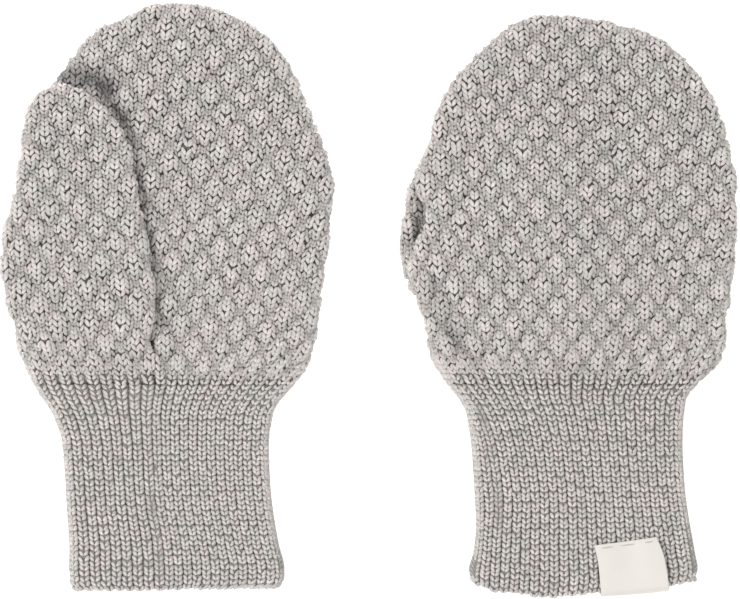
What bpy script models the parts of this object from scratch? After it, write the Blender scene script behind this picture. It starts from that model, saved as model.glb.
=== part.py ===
"""Pair of child's knitted mittens lying flat: the left one palm up with its thumb folded over, the right one back up.

Each mitten has its own frame for its tables, in millimetres: x runs right from its middle line, height runs up
from its hem towards the fingertips, and z runs up from the surface that it lies on.
"""

import math
from collections import namedtuple

import bpy
import numpy as np

MILLIMETRE = 0.001

# Where each mitten lies: its middle line and its hem, from the middle of the pair
LEFT_MIDDLE = -51.8
LEFT_HEM = -74.41
RIGHT_MIDDLE = 53.7
RIGHT_HEM = -75.31

# Cloth
PANEL_THICK = 2.2
THUMB_THICK = 1.8
CUFF_THICK = 2.0
BUBBLE_RISE = 0.9
RIB_RISE = 0.7
SEAM_GAP = 0.3
EDGE_THICK = 0.8
EDGE_TURN = 2.6

# How the layers lie on each other
LYING_GAP = 0.4
HAND_SEAM = PANEL_THICK + LYING_GAP / 2
THUMB_SLACK = 0.1
DRAPED_SLACK = 0.25
RIGHT_SEAM = HAND_SEAM + DRAPED_SLACK
DRAPE_MARGIN = 2.0
DRAPE_SLOPE = 20.0
RELIEF_FADE = 2.0

# How the thumb's outer sheet rises over its hidden edge
ROOT_MARGIN = 3.0
ROOT_CLEAR = 1.8
ROOT_STEP = 3.5
EDGE_CURL = 7.0

# The bubble pattern: the pitch of a row, the rise from one row to the next, and how broad a bubble's top is
BUBBLE_PITCH = 8.6
BUBBLE_ROW = 5.1
BUBBLE_FULLNESS = 0.65
LEFT_PALM_TURN = math.radians(7.5)

# The cuff's slot between its two layers, and how far the right one stands open at the hem for its label
SLOT = 0.5
LABEL_SLOT = 1.6
LABEL_SLOT_REACH = 14.0
LABEL_SLOT_CLOSING = 14.0
SLOT_INSET = 1.9
HEM_ROUND = 1.5
HEM_EDGE_PART = 0.4

Section = namedtuple("Section", "height left right")
CuffSection = namedtuple("CuffSection", "height left seam right")
Point = namedtuple("Point", "x height")

LEFT_HAND = [
    Section(53.1, -34.4, 33.2),
    Section(56.5, -36.3, 35.3),
    Section(62.0, -37.5, 37.6),
    Section(68.0, -38.4, 38.8),
    Section(74.0, -38.9, 39.3),
    Section(82.0, -39.0, 40.6),
    Section(89.0, -38.7, 41.4),
    Section(97.0, -38.1, 42.3),
    Section(105.0, -37.3, 42.7),
    Section(112.0, -36.1, 40.9),
    Section(120.0, -34.4, 37.8),
    Section(126.0, -31.9, 35.4),
    Section(132.3, -27.6, 32.7),
]
LEFT_CROWN = [
    Point(-27.6, 132.3),
    Point(-22.2, 139.2),
    Point(-17.9, 143.8),
    Point(-11.8, 146.3),
    Point(-5.6, 149.2),
    Point(1.5, 150.4),
    Point(9.7, 149.6),
    Point(17.4, 147.0),
    Point(25.0, 142.4),
    Point(29.6, 137.2),
    Point(32.7, 132.3),
]
LEFT_THUMB = [
    Section(53.1, -34.4, -2.9),
    Section(58.0, -36.7, -3.6),
    Section(63.0, -38.1, -4.1),
    Section(68.0, -39.2, -3.4),
    Section(74.0, -40.9, -2.4),
    Section(82.0, -42.2, -3.4),
    Section(92.0, -41.6, -5.0),
    Section(100.0, -39.3, -6.8),
    Section(107.0, -38.0, -7.8),
    Section(113.0, -37.3, -9.0),
    Section(119.0, -36.3, -11.6),
    Section(123.5, -35.3, -15.0),
]
LEFT_THUMB_TIP = [
    Point(-35.3, 123.5),
    Point(-33.0, 127.0),
    Point(-26.3, 129.3),
    Point(-19.0, 126.8),
    Point(-15.0, 123.5),
]
LEFT_CUFF = [
    CuffSection(0.0, -22.6, -0.4, 26.6),
    CuffSection(1.5, -24.6, -0.4, 29.6),
    CuffSection(4.0, -25.0, -0.4, 30.2),
    CuffSection(12.0, -25.1, -0.9, 28.7),
    CuffSection(22.0, -25.8, -2.6, 27.1),
    CuffSection(31.0, -26.3, -3.3, 26.4),
    CuffSection(40.0, -27.3, -3.6, 26.4),
    CuffSection(46.5, -30.0, -3.7, 27.6),
    CuffSection(49.6, -32.4, -3.3, 29.9),
    CuffSection(52.8, -34.3, -2.8, 33.0),
]
LEFT_HEM_LINE = [Point(-25.0, 0.0), Point(0.0, 0.3), Point(30.0, 0.8)]

RIGHT_HAND = [
    Section(54.1, -34.4, 30.8),
    Section(59.8, -38.0, 36.0),
    Section(66.0, -39.0, 37.5),
    Section(72.0, -40.4, 37.9),
    Section(76.5, -42.4, 38.6),
    Section(82.0, -43.9, 39.2),
    Section(88.0, -42.6, 40.1),
    Section(92.0, -40.6, 40.2),
    Section(96.5, -39.2, 40.3),
    Section(101.0, -40.8, 40.4),
    Section(105.0, -42.8, 40.2),
    Section(111.0, -40.3, 39.3),
    Section(116.0, -38.2, 38.0),
    Section(122.0, -37.2, 36.2),
    Section(128.0, -34.7, 33.8),
    Section(133.2, -31.3, 30.5),
]
RIGHT_CROWN = [
    Point(-31.3, 133.2),
    Point(-25.3, 139.2),
    Point(-19.2, 144.8),
    Point(-13.0, 147.6),
    Point(-6.9, 148.2),
    Point(0.0, 147.8),
    Point(11.5, 145.4),
    Point(20.7, 142.0),
    Point(26.8, 137.4),
    Point(30.5, 133.2),
]
RIGHT_THUMB = [
    Section(54.1, -34.4, -4.9),
    Section(60.0, -37.6, -5.6),
    Section(66.0, -38.6, -5.9),
    Section(74.0, -41.4, -4.8),
    Section(82.0, -45.0, -4.8),
    Section(90.0, -46.2, -6.6),
    Section(97.0, -45.2, -8.2),
    Section(104.0, -43.7, -10.0),
    Section(112.0, -40.0, -11.6),
    Section(119.0, -36.6, -13.3),
    Section(123.5, -34.3, -16.2),
]
RIGHT_THUMB_TIP = [
    Point(-34.3, 123.5),
    Point(-31.6, 127.0),
    Point(-25.6, 129.0),
    Point(-19.6, 127.0),
    Point(-16.2, 123.5),
]
RIGHT_CUFF = [
    CuffSection(0.0, -27.6, -23.2, 29.4),
    CuffSection(3.0, -28.4, -23.0, 30.4),
    CuffSection(8.0, -27.4, -22.7, 29.8),
    CuffSection(16.0, -26.6, -22.2, 28.6),
    CuffSection(23.0, -26.8, -21.8, 27.6),
    CuffSection(32.0, -27.3, -22.6, 26.8),
    CuffSection(41.0, -28.1, -24.5, 26.6),
    CuffSection(47.5, -29.4, -27.2, 27.1),
    CuffSection(50.6, -31.4, -29.4, 27.8),
    CuffSection(53.8, -34.2, -32.0, 30.6),
]
RIGHT_HEM_LINE = [
    Point(-28.4, 3.6),
    Point(-24.0, 1.4),
    Point(-16.0, 0.2),
    Point(-7.0, -0.7),
    Point(3.0, 0.2),
    Point(14.0, 0.9),
    Point(22.0, 1.8),
    Point(30.0, 3.6),
]
HEM_LINE_REACH = 25.0

# Where the thumb leaves the hand: its hidden edge runs from the crotch up to the mitten's side, and so does the
# palm's, which then follows the thumb's seam down to the cuff
LEFT_CROTCH = Point(-4.0, 64.0)
LEFT_ROOT = Point(-41.4, 77.0)
LEFT_PALM_EDGE = [Point(-38.9, 77.0), Point(-3.7, 64.2), Point(-3.3, 58.5), Point(-2.6, 53.1)]
RIGHT_CROTCH = Point(-5.8, 67.0)
RIGHT_ROOT = Point(-42.8, 77.0)
RIGHT_PALM_EDGE = [Point(-42.6, 77.0), Point(-5.5, 67.2), Point(-5.2, 60.0), Point(-4.5, 54.1)]

# Ribs on the cuff's upper face, to the left and right of its seam
LEFT_RIBS = (9, 13)
RIGHT_RIBS = (2, 21)
RIB_PROFILE = [0.0, 0.75, 1.0, 0.75]

# The label's outer leaf on the right cuff, as its left and right sides from the hem up
LABEL_SIDES = [
    Section(0.3, 5.4, 22.8),
    Section(4.0, 5.1, 22.3),
    Section(9.0, 4.6, 21.3),
    Section(12.9, 4.3, 19.9),
]
LABEL_THICK = 0.5
LABEL_LEAN = 1.8
LABEL_COLUMNS = 6
LABEL_LEAF_HEIGHTS = [12.9, 11.0, 8.0, 5.0, 2.6, 1.2]
LABEL_TUCK_HEIGHTS = [1.2, 2.6, 6.0]
LABEL_FOLD_ANGLES = [27.0, 58.0, 90.0, 122.0, 153.0]

# Grid sizes, each an even number of cells
PANEL_COLUMNS = 36
PANEL_ROWS = 34
PLAIN_COLUMNS = 18
PLAIN_ROWS = 20
THUMB_COLUMNS = 16
THUMB_ROWS = 26
HIDDEN_THUMB_COLUMNS = 12
HIDDEN_THUMB_ROWS = 14
CUFF_ROWS = [0.0, 0.5, 1.6, 6.0, 19.0, 34.0, 44.0, 49.5]
CUFF_EDGE_COLUMNS = [1, 3, 6]
CUFF_PLAIN_STEP = 12
OUTLINE_STEPS = 40
EDGE_STEPS = [0.0, 0.35, 1.2]

KNIT_COLOUR = (0.434, 0.402, 0.386, 1.0)
LABEL_COLOUR = (0.84, 0.80, 0.75, 1.0)


def smooth(stations, values, at):
    """Smooth line through a table's values, with each station's mean slope."""
    stations = np.asarray(stations, float)
    values = np.asarray(values, float)
    slopes = np.gradient(values, stations, axis=0)
    at = np.clip(at, stations[0], stations[-1])
    span = np.clip(np.searchsorted(stations, at, side="right") - 1, 0, len(stations) - 2)
    width = stations[span + 1] - stations[span]
    part = (at - stations[span]) / width
    if values.ndim > 1:
        width = width[:, None]
        part = part[:, None]
    start = (1 + 2 * part) * (1 - part) ** 2 * values[span] + part * (1 - part) ** 2 * width * slopes[span]
    end = part**2 * (3 - 2 * part) * values[span + 1] - part**2 * (1 - part) * width * slopes[span + 1]
    return start + end


def ease(part):
    """Slope that starts and ends level, from 0 to 1."""
    part = np.clip(part, 0, 1)
    return part * part * (3 - 2 * part)


def turned_edge(distance, reach=EDGE_TURN):
    """Height of a turned edge: 0 at the outline and 1 beyond its reach."""
    part = np.clip(distance / reach, 0, 1)
    return np.sqrt(1 - (1 - part) ** 2)


def along(points, parts, curved=True):
    """Points at these parts of a line's length."""
    points = np.asarray(points, float)
    lengths = np.concatenate([[0], np.cumsum(np.linalg.norm(np.diff(points, axis=0), axis=1))])
    at = np.asarray(parts) * lengths[-1]
    if curved:
        return smooth(lengths, points, at)
    return np.stack([np.interp(at, lengths, points[:, axis]) for axis in range(2)], axis=1)


def stations(count, width, both_ends=True):
    """Parts from 0 to 1 in count cells, close together where the cloth turns over its edge."""
    steps = np.array(EDGE_STEPS) / width
    ends = len(steps)
    if both_ends:
        middle = np.linspace(steps[-1], 1 - steps[-1], count + 3 - 2 * ends)[1:-1]
        return np.concatenate([steps, middle, 1 - steps[::-1]])
    middle = np.linspace(0, 1 - steps[-1], count + 2 - ends)[:-1]
    return np.concatenate([middle, 1 - steps[::-1]])


def side(sections, name):
    return [Point(getattr(section, name), section.height) for section in sections]


def patch(base, left, right, crown, columns, rows):
    """Grid of plan points between four lines that meet at their ends."""
    width = np.ptp([point[0] for point in base])
    length = left[-1][1] - left[0][1]
    across = stations(columns, width)
    upward = stations(rows, length, both_ends=False)
    low = along(base, across, curved=False)[None]
    high = along(crown, across)[None]
    near = along(left, upward)[:, None]
    far = along(right, upward)[:, None]
    u = across[None, :, None]
    v = upward[:, None, None]
    corners = (1 - v) * ((1 - u) * low[:, :1] + u * low[:, -1:]) + v * ((1 - u) * high[:, :1] + u * high[:, -1:])
    return (1 - v) * low + v * high + (1 - u) * near + u * far - corners


def line_distance(plan, line):
    """Distance of each plan point from a line of points."""
    line = np.asarray(line, float)
    start = line[:-1]
    step = line[1:] - start
    offset = plan[..., None, :] - start
    part = np.clip((offset * step).sum(-1) / (step * step).sum(-1), 0, 1)
    return np.linalg.norm(offset - part[..., None] * step, axis=-1).min(-1)


def outline(left, crown, right):
    """Fine points up one side, over the crown and down the other side."""
    parts = np.linspace(0, 1, OUTLINE_STEPS)
    return np.concatenate([along(left, parts), along(crown, parts)[1:], along(right, parts)[::-1][1:]])


def outline_distance(plan, left, crown, right):
    """Distance from a panel's turned edge, which runs up one side, over the crown and down the other."""
    return line_distance(plan, outline(left, crown, right))


def inside_by(plan, left, crown, right):
    """Signed distance from an outline: positive inside it, down to its open lower end."""
    edge = outline(left, crown, right)
    ends = np.concatenate([edge, edge[:1]])
    x = plan[..., 0, None]
    y = plan[..., 1, None]
    crosses = (ends[:-1, 1] > y) != (ends[1:, 1] > y)
    rise = np.where(ends[1:, 1] == ends[:-1, 1], 1, ends[1:, 1] - ends[:-1, 1])
    reach = ends[:-1, 0] + (y - ends[:-1, 1]) * (ends[1:, 0] - ends[:-1, 0]) / rise
    inside = (crosses & (x < reach)).sum(-1) % 2 == 1
    return np.where(inside, 1, -1) * line_distance(plan, edge)


def above_root(plan, crotch, root):
    """Distance above the thumb's hidden edge, which runs from the crotch to the thumb's root."""
    direction = np.array([root.x - crotch.x, root.height - crotch.height])
    direction /= np.linalg.norm(direction)
    offset = plan - np.array([crotch.x, crotch.height])
    return direction[1] * offset[..., 0] - direction[0] * offset[..., 1]


def bubbles(plan, turn=0.0):
    """Raised pattern of staggered bubbles, from 0 in its hollows to 1 on a bubble."""
    across = plan[..., 0] * math.cos(turn) - plan[..., 1] * math.sin(turn)
    upward = plan[..., 0] * math.sin(turn) + plan[..., 1] * math.cos(turn)
    wave = np.cos(2 * math.pi * across / BUBBLE_PITCH) * np.cos(math.pi * upward / BUBBLE_ROW)
    return (0.5 + 0.5 * wave) ** BUBBLE_FULLNESS


def with_height(plan, height):
    return np.concatenate([plan, height[..., None]], axis=-1)


def material(name, colour, roughness):
    made = bpy.data.materials.new(name)
    made.use_nodes = True
    shader = made.node_tree.nodes["Principled BSDF"]
    shader.inputs["Base Color"].default_value = colour
    shader.inputs["Roughness"].default_value = roughness
    shader.inputs["Metallic"].default_value = 0.0
    made.diffuse_color = colour
    return made


def add_body(name, points, faces, place, colour=KNIT_COLOUR):
    """Adds one closed body from its points in millimetres, moved to its mitten's place."""
    mesh = bpy.data.meshes.new(name)
    moved = (np.asarray(points) + np.array([place[0], place[1], 0.0])) * MILLIMETRE
    mesh.from_pydata(moved.tolist(), [], faces)
    mesh.update()
    body = bpy.data.objects.new(name, mesh)
    body.data.materials.append(material(name + "_cloth", colour, 0.9))
    PAIR.objects.link(body)
    return body


def wall(name, outer, inner, place, upward=True, colour=KNIT_COLOUR):
    """Closed wall between a fine outer grid and an inner grid of the same or half as many cells each way."""
    rows, columns = outer.shape[:2]
    ratio = (rows - 1) // (inner.shape[0] - 1)
    points = np.concatenate([outer.reshape(-1, 3), inner.reshape(-1, 3)])
    fine = np.arange(rows * columns).reshape(rows, columns)
    coarse = rows * columns + np.arange(inner.shape[0] * inner.shape[1]).reshape(inner.shape[:2])
    faces = grid_faces(fine) + [face[::-1] for face in grid_faces(coarse)]
    faces += rim_faces(border(fine), border(coarse), ratio)
    if not upward:
        faces = [face[::-1] for face in faces]
    return add_body(name, points, faces, place, colour)


def grid_faces(index):
    """Two triangles for each cell, with the shared side turned from cell to cell."""
    faces = []
    for row in range(index.shape[0] - 1):
        for column in range(index.shape[1] - 1):
            a, b = index[row, column], index[row, column + 1]
            c, d = index[row + 1, column + 1], index[row + 1, column]
            if (row + column) % 2:
                faces += [(a, b, c), (a, c, d)]
            else:
                faces += [(a, b, d), (b, c, d)]
    return [tuple(int(corner) for corner in face) for face in faces]


def border(index):
    """A grid's edge points in order, anticlockwise from its first point."""
    return np.concatenate([index[0, :-1], index[:-1, -1], index[-1, :0:-1], index[:0:-1, 0]])


def rim_faces(fine, coarse, ratio):
    """Triangles between a closed line of points and one with every point, or every second point, of it."""
    faces = []
    for place, corner in enumerate(coarse):
        following = coarse[(place + 1) % len(coarse)]
        run = [fine[(place * ratio + step) % len(fine)] for step in range(ratio + 1)]
        turn = ratio // 2 if ratio > 1 else 1
        for step in range(ratio):
            faces.append((run[step + 1], run[step], corner if step < turn else following))
        faces.append((corner, following, run[turn]))
    return [tuple(int(index) for index in face) for face in faces]


def panel(name, plan, edge, seam_height, thick, way, place, relief=0.0, slack=0.0, inner_step=2):
    """Cloth panel that lies on its seam's level, above it where way is 1 and below it where way is -1."""
    turn = turned_edge(edge)
    inner_height = seam_height + way * (SEAM_GAP / 2 + ((LYING_GAP - SEAM_GAP) / 2 + slack) * turn)
    outer_height = inner_height + way * (EDGE_THICK + (thick - EDGE_THICK) * turn + relief * turn)
    outer = with_height(plan, outer_height)
    inner = with_height(plan, inner_height)[::inner_step, ::inner_step]
    return wall(name, outer, inner, place, upward=way > 0)


def cuff_plan(sections, hem_line, left_ribs, right_ribs):
    """Places of the cuff's edges and rib columns on each of its rows."""
    rows = np.array(CUFF_ROWS + [sections[-1].height])
    heights = [section.height for section in sections]
    left, seam, right = (
        smooth(heights, [getattr(section, name) for section in sections], rows)
        for name in ("left", "seam", "right")
    )
    left_part = np.linspace(0, 1, len(RIB_PROFILE) * left_ribs + 1)
    right_part = np.linspace(0, 1, len(RIB_PROFILE) * right_ribs + 1)[1:]
    x = np.concatenate(
        [
            left[:, None] + (seam - left)[:, None] * left_part,
            seam[:, None] + (right - seam)[:, None] * right_part,
        ],
        axis=1,
    )
    hem_x = [point.x for point in hem_line]
    hem = smooth(hem_x, [point.height for point in hem_line], x)
    height = rows[:, None] + hem * np.clip(1 - rows[:, None] / HEM_LINE_REACH, 0, 1)
    return np.stack([x, height], axis=-1), rows, left, right


def cuff(name, sections, hem_line, ribs, open_slot, place):
    """Ribbed tube lying flat: its ribs stand up on top, and its underside is plain where it rests."""
    plan, rows, left, right = cuff_plan(sections, hem_line, *ribs)
    columns = plan.shape[1]
    edge = np.minimum(plan[..., 0] - left[:, None], right[:, None] - plan[..., 0])
    turn = turned_edge(edge)
    hem_turn = HEM_EDGE_PART + (1 - HEM_EDGE_PART) * turned_edge(rows, HEM_ROUND)[:, None]
    slot = cuff_slot(rows, open_slot)[:, None]
    seam_level = CUFF_THICK + SLOT / 2
    rib = RIB_RISE * np.resize(RIB_PROFILE, columns)
    top_level = CUFF_THICK + slot
    top = seam_level + (top_level + CUFF_THICK * hem_turn + rib * hem_turn - seam_level) * turn
    bottom = seam_level - (seam_level - CUFF_THICK * (1 - hem_turn)) * turn
    low = underside_columns(columns)
    outer = ring(plan, top, bottom, low)
    slot_plan = inset_plan(plan, left, right)
    slot_edge = np.minimum(
        slot_plan[..., 0] - left[:, None] - SLOT_INSET,
        right[:, None] - SLOT_INSET - slot_plan[..., 0],
    )
    slot_turn = turned_edge(slot_edge)
    slot_top = seam_level + (top_level - seam_level) * slot_turn
    slot_bottom = seam_level - (seam_level - CUFF_THICK) * slot_turn
    inner = ring(slot_plan, slot_top, slot_bottom, low)[:, ::2]
    tube(name, outer, inner, place)


def cuff_slot(rows, open_slot):
    """Height of the slot between the cuff's layers: open at the hem, nearly closed further up."""
    return SLOT + (open_slot - SLOT) * (1 - ease((rows - LABEL_SLOT_REACH) / LABEL_SLOT_CLOSING))


def underside_columns(columns):
    """Columns that the underside shares with the top, right to left: the turned edges and a few between them."""
    near = CUFF_EDGE_COLUMNS
    far = [columns - 1 - column for column in near]
    middle = list(range(near[-1] + CUFF_PLAIN_STEP, far[-1] - CUFF_PLAIN_STEP // 2, CUFF_PLAIN_STEP))
    if (columns + len(near + middle + far)) % 2:
        middle = middle[1:]
    return sorted(near + middle + far, reverse=True)


def inset_plan(plan, left, right):
    """The same columns drawn in towards the middle, so that the tube keeps its sides."""
    middle = (left + right)[:, None] / 2
    half = (right - left)[:, None] / 2
    drawn = plan.copy()
    drawn[..., 0] = middle + (plan[..., 0] - middle) * (half - SLOT_INSET) / half
    return drawn


def ring(plan, top, bottom, low):
    """Each row's points all round: left to right over the top, then back along the underside."""
    over = with_height(plan, top)
    under = with_height(plan, bottom)[:, low]
    return np.concatenate([over, under], axis=1)


def tube(name, outer, inner, place):
    """Closed body between an outer and an inner tube, joined at both open ends."""
    rows, around = outer.shape[:2]
    points = np.concatenate([outer.reshape(-1, 3), inner.reshape(-1, 3)])
    fine = np.arange(rows * around).reshape(rows, around)
    coarse = rows * around + np.arange(inner.shape[0] * inner.shape[1]).reshape(inner.shape[:2])
    faces = grid_faces(np.concatenate([fine, fine[:, :1]], axis=1))
    faces += [face[::-1] for face in grid_faces(np.concatenate([coarse, coarse[:, :1]], axis=1))]
    faces += rim_faces(fine[0], coarse[0], 2)
    faces += [face[::-1] for face in rim_faces(fine[-1], coarse[-1], 2)]
    add_body(name, points, faces, place)


def label(place):
    """Small woven label folded over the right cuff's hem: one leaf on the ribs and one in the slot."""
    upper_cloth = CUFF_THICK + LABEL_SLOT
    crest = upper_cloth + CUFF_THICK + RIB_RISE + SEAM_GAP
    tuck = upper_cloth - SEAM_GAP
    fold = np.radians(LABEL_FOLD_ANGLES)
    layers = []
    for offset in (0.0, LABEL_THICK):
        height = np.concatenate([LABEL_LEAF_HEIGHTS, -(SEAM_GAP + offset) * np.sin(fold), LABEL_TUCK_HEIGHTS])
        level = np.concatenate(
            [
                np.full(len(LABEL_LEAF_HEIGHTS), crest + offset),
                (crest + tuck) / 2 + ((crest - tuck) / 2 + offset) * np.cos(fold),
                np.full(len(LABEL_TUCK_HEIGHTS), tuck - offset),
            ]
        )
        plan = label_plan(height)
        layers.append(with_height(plan, np.repeat(level[:, None], plan.shape[1], axis=1)))
    wall("right_label", layers[1], layers[0], place, upward=False, colour=LABEL_COLOUR)


def label_plan(height):
    """The label's plan points at these heights above the hem, between its slightly slanting sides."""
    heights = [section.height for section in LABEL_SIDES]
    left = smooth(heights, [section.left for section in LABEL_SIDES], height)
    right = smooth(heights, [section.right for section in LABEL_SIDES], height)
    across = np.linspace(0, 1, LABEL_COLUMNS + 1)
    x = left[:, None] + (right - left)[:, None] * across
    hem = smooth([point.x for point in RIGHT_HEM_LINE], [point.height for point in RIGHT_HEM_LINE], x)
    lean = LABEL_LEAN * (across - 0.5) * np.clip(height / heights[-1], 0, 1)[:, None]
    above_hem = height[:, None] + hem * np.clip(1 - height / HEM_LINE_REACH, 0, 1)[:, None]
    return np.stack([x, above_hem + lean], axis=-1)


def root_rise(plan, crotch, root, cuff_top):
    """Gentle rise from the cuff's top, 0 there and 1 just short of the thumb's hidden edge."""
    lean = (root.height - crotch.height) / (root.x - crotch.x)
    full_height = crotch.height + lean * (plan[..., 0] - crotch.x) - ROOT_MARGIN
    full_height = np.maximum(full_height, crotch.height - ROOT_MARGIN)
    return ease((plan[..., 1] - cuff_top) / (full_height - cuff_top))


def drape(plan, thumb):
    """How far the right hand is lifted where it lies over its thumb: 1 over it, easing to 0 beside it."""
    beside = ease(1 + (inside_by(plan, *thumb) + DRAPE_MARGIN) / DRAPE_SLOPE)
    return beside * root_rise(plan, RIGHT_CROTCH, RIGHT_ROOT, RIGHT_HAND[0].height)


def root_step(plan, crotch, root):
    """Abrupt rise of the thumb's own edges, just short of its hidden edge."""
    return ease(1 + (above_root(plan, crotch, root) + ROOT_CLEAR) / ROOT_STEP)


def thumb_plans(sections, tip, crotch, root):
    """Plan grids of a thumb's outer sheet, which runs on into the cuff, and of its inner one, which stops at the root."""
    left = side(sections, "left")
    right = side(sections, "right")
    base = [left[0], right[0]]
    outer = patch(base, left, right, tip, THUMB_COLUMNS, THUMB_ROWS)
    upper_left = [root] + [point for point in left if point.height > root.height]
    upper_right = [crotch] + [point for point in right if point.height > crotch.height]
    inner = patch([root, crotch], upper_left, upper_right, tip, HIDDEN_THUMB_COLUMNS, HIDDEN_THUMB_ROWS)
    return outer, inner, (left, tip, right)


def palm_plan(sections, crown, palm_edge, columns, rows):
    """Plan grid of a palm, whose lower edge runs down the thumb's hidden edge and along its seam to the cuff."""
    left = side(sections, "left")
    right = side(sections, "right")
    upper_left = palm_edge[:1] + [point for point in left if point.height > palm_edge[0].height]
    return patch(palm_edge + right[:1], upper_left, right, crown, columns, rows)


def left_mitten():
    """Palm up, with the thumb folded over the palm."""
    place = (LEFT_MIDDLE, LEFT_HEM)
    hand = (side(LEFT_HAND, "left"), LEFT_CROWN, side(LEFT_HAND, "right"))
    base = [hand[0][0], hand[2][0]]
    plan = patch(base, hand[0], hand[2], hand[1], PLAIN_COLUMNS, PLAIN_ROWS)
    panel("left_back", plan, outline_distance(plan, *hand), HAND_SEAM, PANEL_THICK, -1, place)

    outer, inner, thumb = thumb_plans(LEFT_THUMB, LEFT_THUMB_TIP, LEFT_CROTCH, LEFT_ROOT)
    plan = palm_plan(LEFT_HAND, LEFT_CROWN, LEFT_PALM_EDGE, PANEL_COLUMNS, PANEL_ROWS)
    clear_of_thumb = ease(-inside_by(plan, *thumb) / RELIEF_FADE)
    relief = BUBBLE_RISE * bubbles(plan, LEFT_PALM_TURN) * clear_of_thumb
    panel("left_palm", plan, outline_distance(plan, *hand), HAND_SEAM, PANEL_THICK, 1, place, relief)

    thumb_seam = 2 * HAND_SEAM + LYING_GAP + THUMB_THICK + LYING_GAP / 2
    edge = outline_distance(outer, *thumb)
    gentle = root_rise(outer, LEFT_CROTCH, LEFT_ROOT, LEFT_HAND[0].height)
    abrupt = root_step(outer, LEFT_CROTCH, LEFT_ROOT)
    lift = gentle + (abrupt - gentle) * (1 - ease(edge / EDGE_CURL))
    seam = HAND_SEAM + (thumb_seam - HAND_SEAM) * lift
    relief = BUBBLE_RISE * bubbles(outer)
    panel("left_thumb_outer", outer, edge, seam, THUMB_THICK, 1, place, relief, THUMB_SLACK, 1)
    edge = outline_distance(inner, *thumb)
    panel("left_thumb_inner", inner, edge, thumb_seam, THUMB_THICK, -1, place)
    cuff("left_cuff", LEFT_CUFF, LEFT_HEM_LINE, LEFT_RIBS, 2 * SLOT, place)


def right_mitten():
    """Back up, with the thumb folded beneath, so that the hand is draped over it."""
    place = (RIGHT_MIDDLE, RIGHT_HEM)
    hand = (side(RIGHT_HAND, "left"), RIGHT_CROWN, side(RIGHT_HAND, "right"))
    thumb_seam = THUMB_THICK + LYING_GAP / 2
    over_thumb = 2 * THUMB_THICK + 2 * LYING_GAP
    outer, inner, thumb = thumb_plans(RIGHT_THUMB, RIGHT_THUMB_TIP, RIGHT_CROTCH, RIGHT_ROOT)

    edge = outline_distance(outer, *thumb)
    hand_seam = RIGHT_SEAM + over_thumb * drape(outer, thumb)
    curl = (1 - ease(edge / EDGE_CURL)) * (1 - root_step(outer, RIGHT_CROTCH, RIGHT_ROOT))
    seam = thumb_seam + (hand_seam - thumb_seam) * curl
    panel("right_thumb_outer", outer, edge, seam, THUMB_THICK, -1, place)
    edge = outline_distance(inner, *thumb)
    panel("right_thumb_inner", inner, edge, thumb_seam, THUMB_THICK, 1, place)

    plan = palm_plan(RIGHT_HAND, RIGHT_CROWN, RIGHT_PALM_EDGE, PLAIN_COLUMNS, PLAIN_ROWS)
    seam = RIGHT_SEAM + over_thumb * drape(plan, thumb)
    edge = outline_distance(plan, *hand)
    panel("right_palm", plan, edge, seam, PANEL_THICK, -1, place, 0.0, DRAPED_SLACK, 1)

    base = [hand[0][0], hand[2][0]]
    plan = patch(base, hand[0], hand[2], hand[1], PANEL_COLUMNS, PANEL_ROWS)
    seam = RIGHT_SEAM + over_thumb * drape(plan, thumb)
    edge = outline_distance(plan, *hand)
    relief = BUBBLE_RISE * bubbles(plan)
    panel("right_back", plan, edge, seam, PANEL_THICK, 1, place, relief, DRAPED_SLACK)
    cuff("right_cuff", RIGHT_CUFF, RIGHT_HEM_LINE, RIGHT_RIBS, LABEL_SLOT, place)
    label(place)


for old in list(bpy.data.objects):
    bpy.data.objects.remove(old, do_unlink=True)
PAIR = bpy.data.collections.new("knitted_mittens")
bpy.context.scene.collection.children.link(PAIR)
left_mitten()
right_mitten()
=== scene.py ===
"""Looks of the pair of child's knitted mittens, laid flat: the left one palm up, the right one back up.

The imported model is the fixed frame. Every piece is worked out in its mitten's own frame, in millimetres:
x runs right from the mitten's middle line, height runs up from its hem to the fingertips, and z runs up
from the surface below. A place in the knitting is counted in wales, the columns of stitches, and courses,
the rows of stitches. Course 0 is where the cuff ends, and wale 0 is one column that runs on from the cuff
up the hand.
"""

import math
from collections import namedtuple

import bpy
import numpy as np
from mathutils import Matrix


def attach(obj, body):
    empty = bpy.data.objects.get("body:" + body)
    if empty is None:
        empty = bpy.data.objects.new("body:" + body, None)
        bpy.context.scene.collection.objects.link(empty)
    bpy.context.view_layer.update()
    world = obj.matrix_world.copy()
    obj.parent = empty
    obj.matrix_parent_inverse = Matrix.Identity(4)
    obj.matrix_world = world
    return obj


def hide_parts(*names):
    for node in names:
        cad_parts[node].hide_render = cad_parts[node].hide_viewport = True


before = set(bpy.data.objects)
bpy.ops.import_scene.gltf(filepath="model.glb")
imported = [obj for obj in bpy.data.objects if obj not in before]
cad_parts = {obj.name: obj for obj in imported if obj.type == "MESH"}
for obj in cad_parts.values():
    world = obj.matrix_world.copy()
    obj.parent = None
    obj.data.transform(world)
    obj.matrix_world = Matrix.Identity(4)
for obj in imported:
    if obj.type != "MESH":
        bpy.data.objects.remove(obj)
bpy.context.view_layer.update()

MILLIMETRE = 0.001

# Cloth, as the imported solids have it
PANEL_THICK = 2.2
THUMB_THICK = 1.8
CUFF_THICK = 2.0
BUBBLE_RISE = 1.6
RIB_RISE = 0.7
SEAM_GAP = 0.3
EDGE_THICK = 0.8
EDGE_TURN = 2.6

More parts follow.
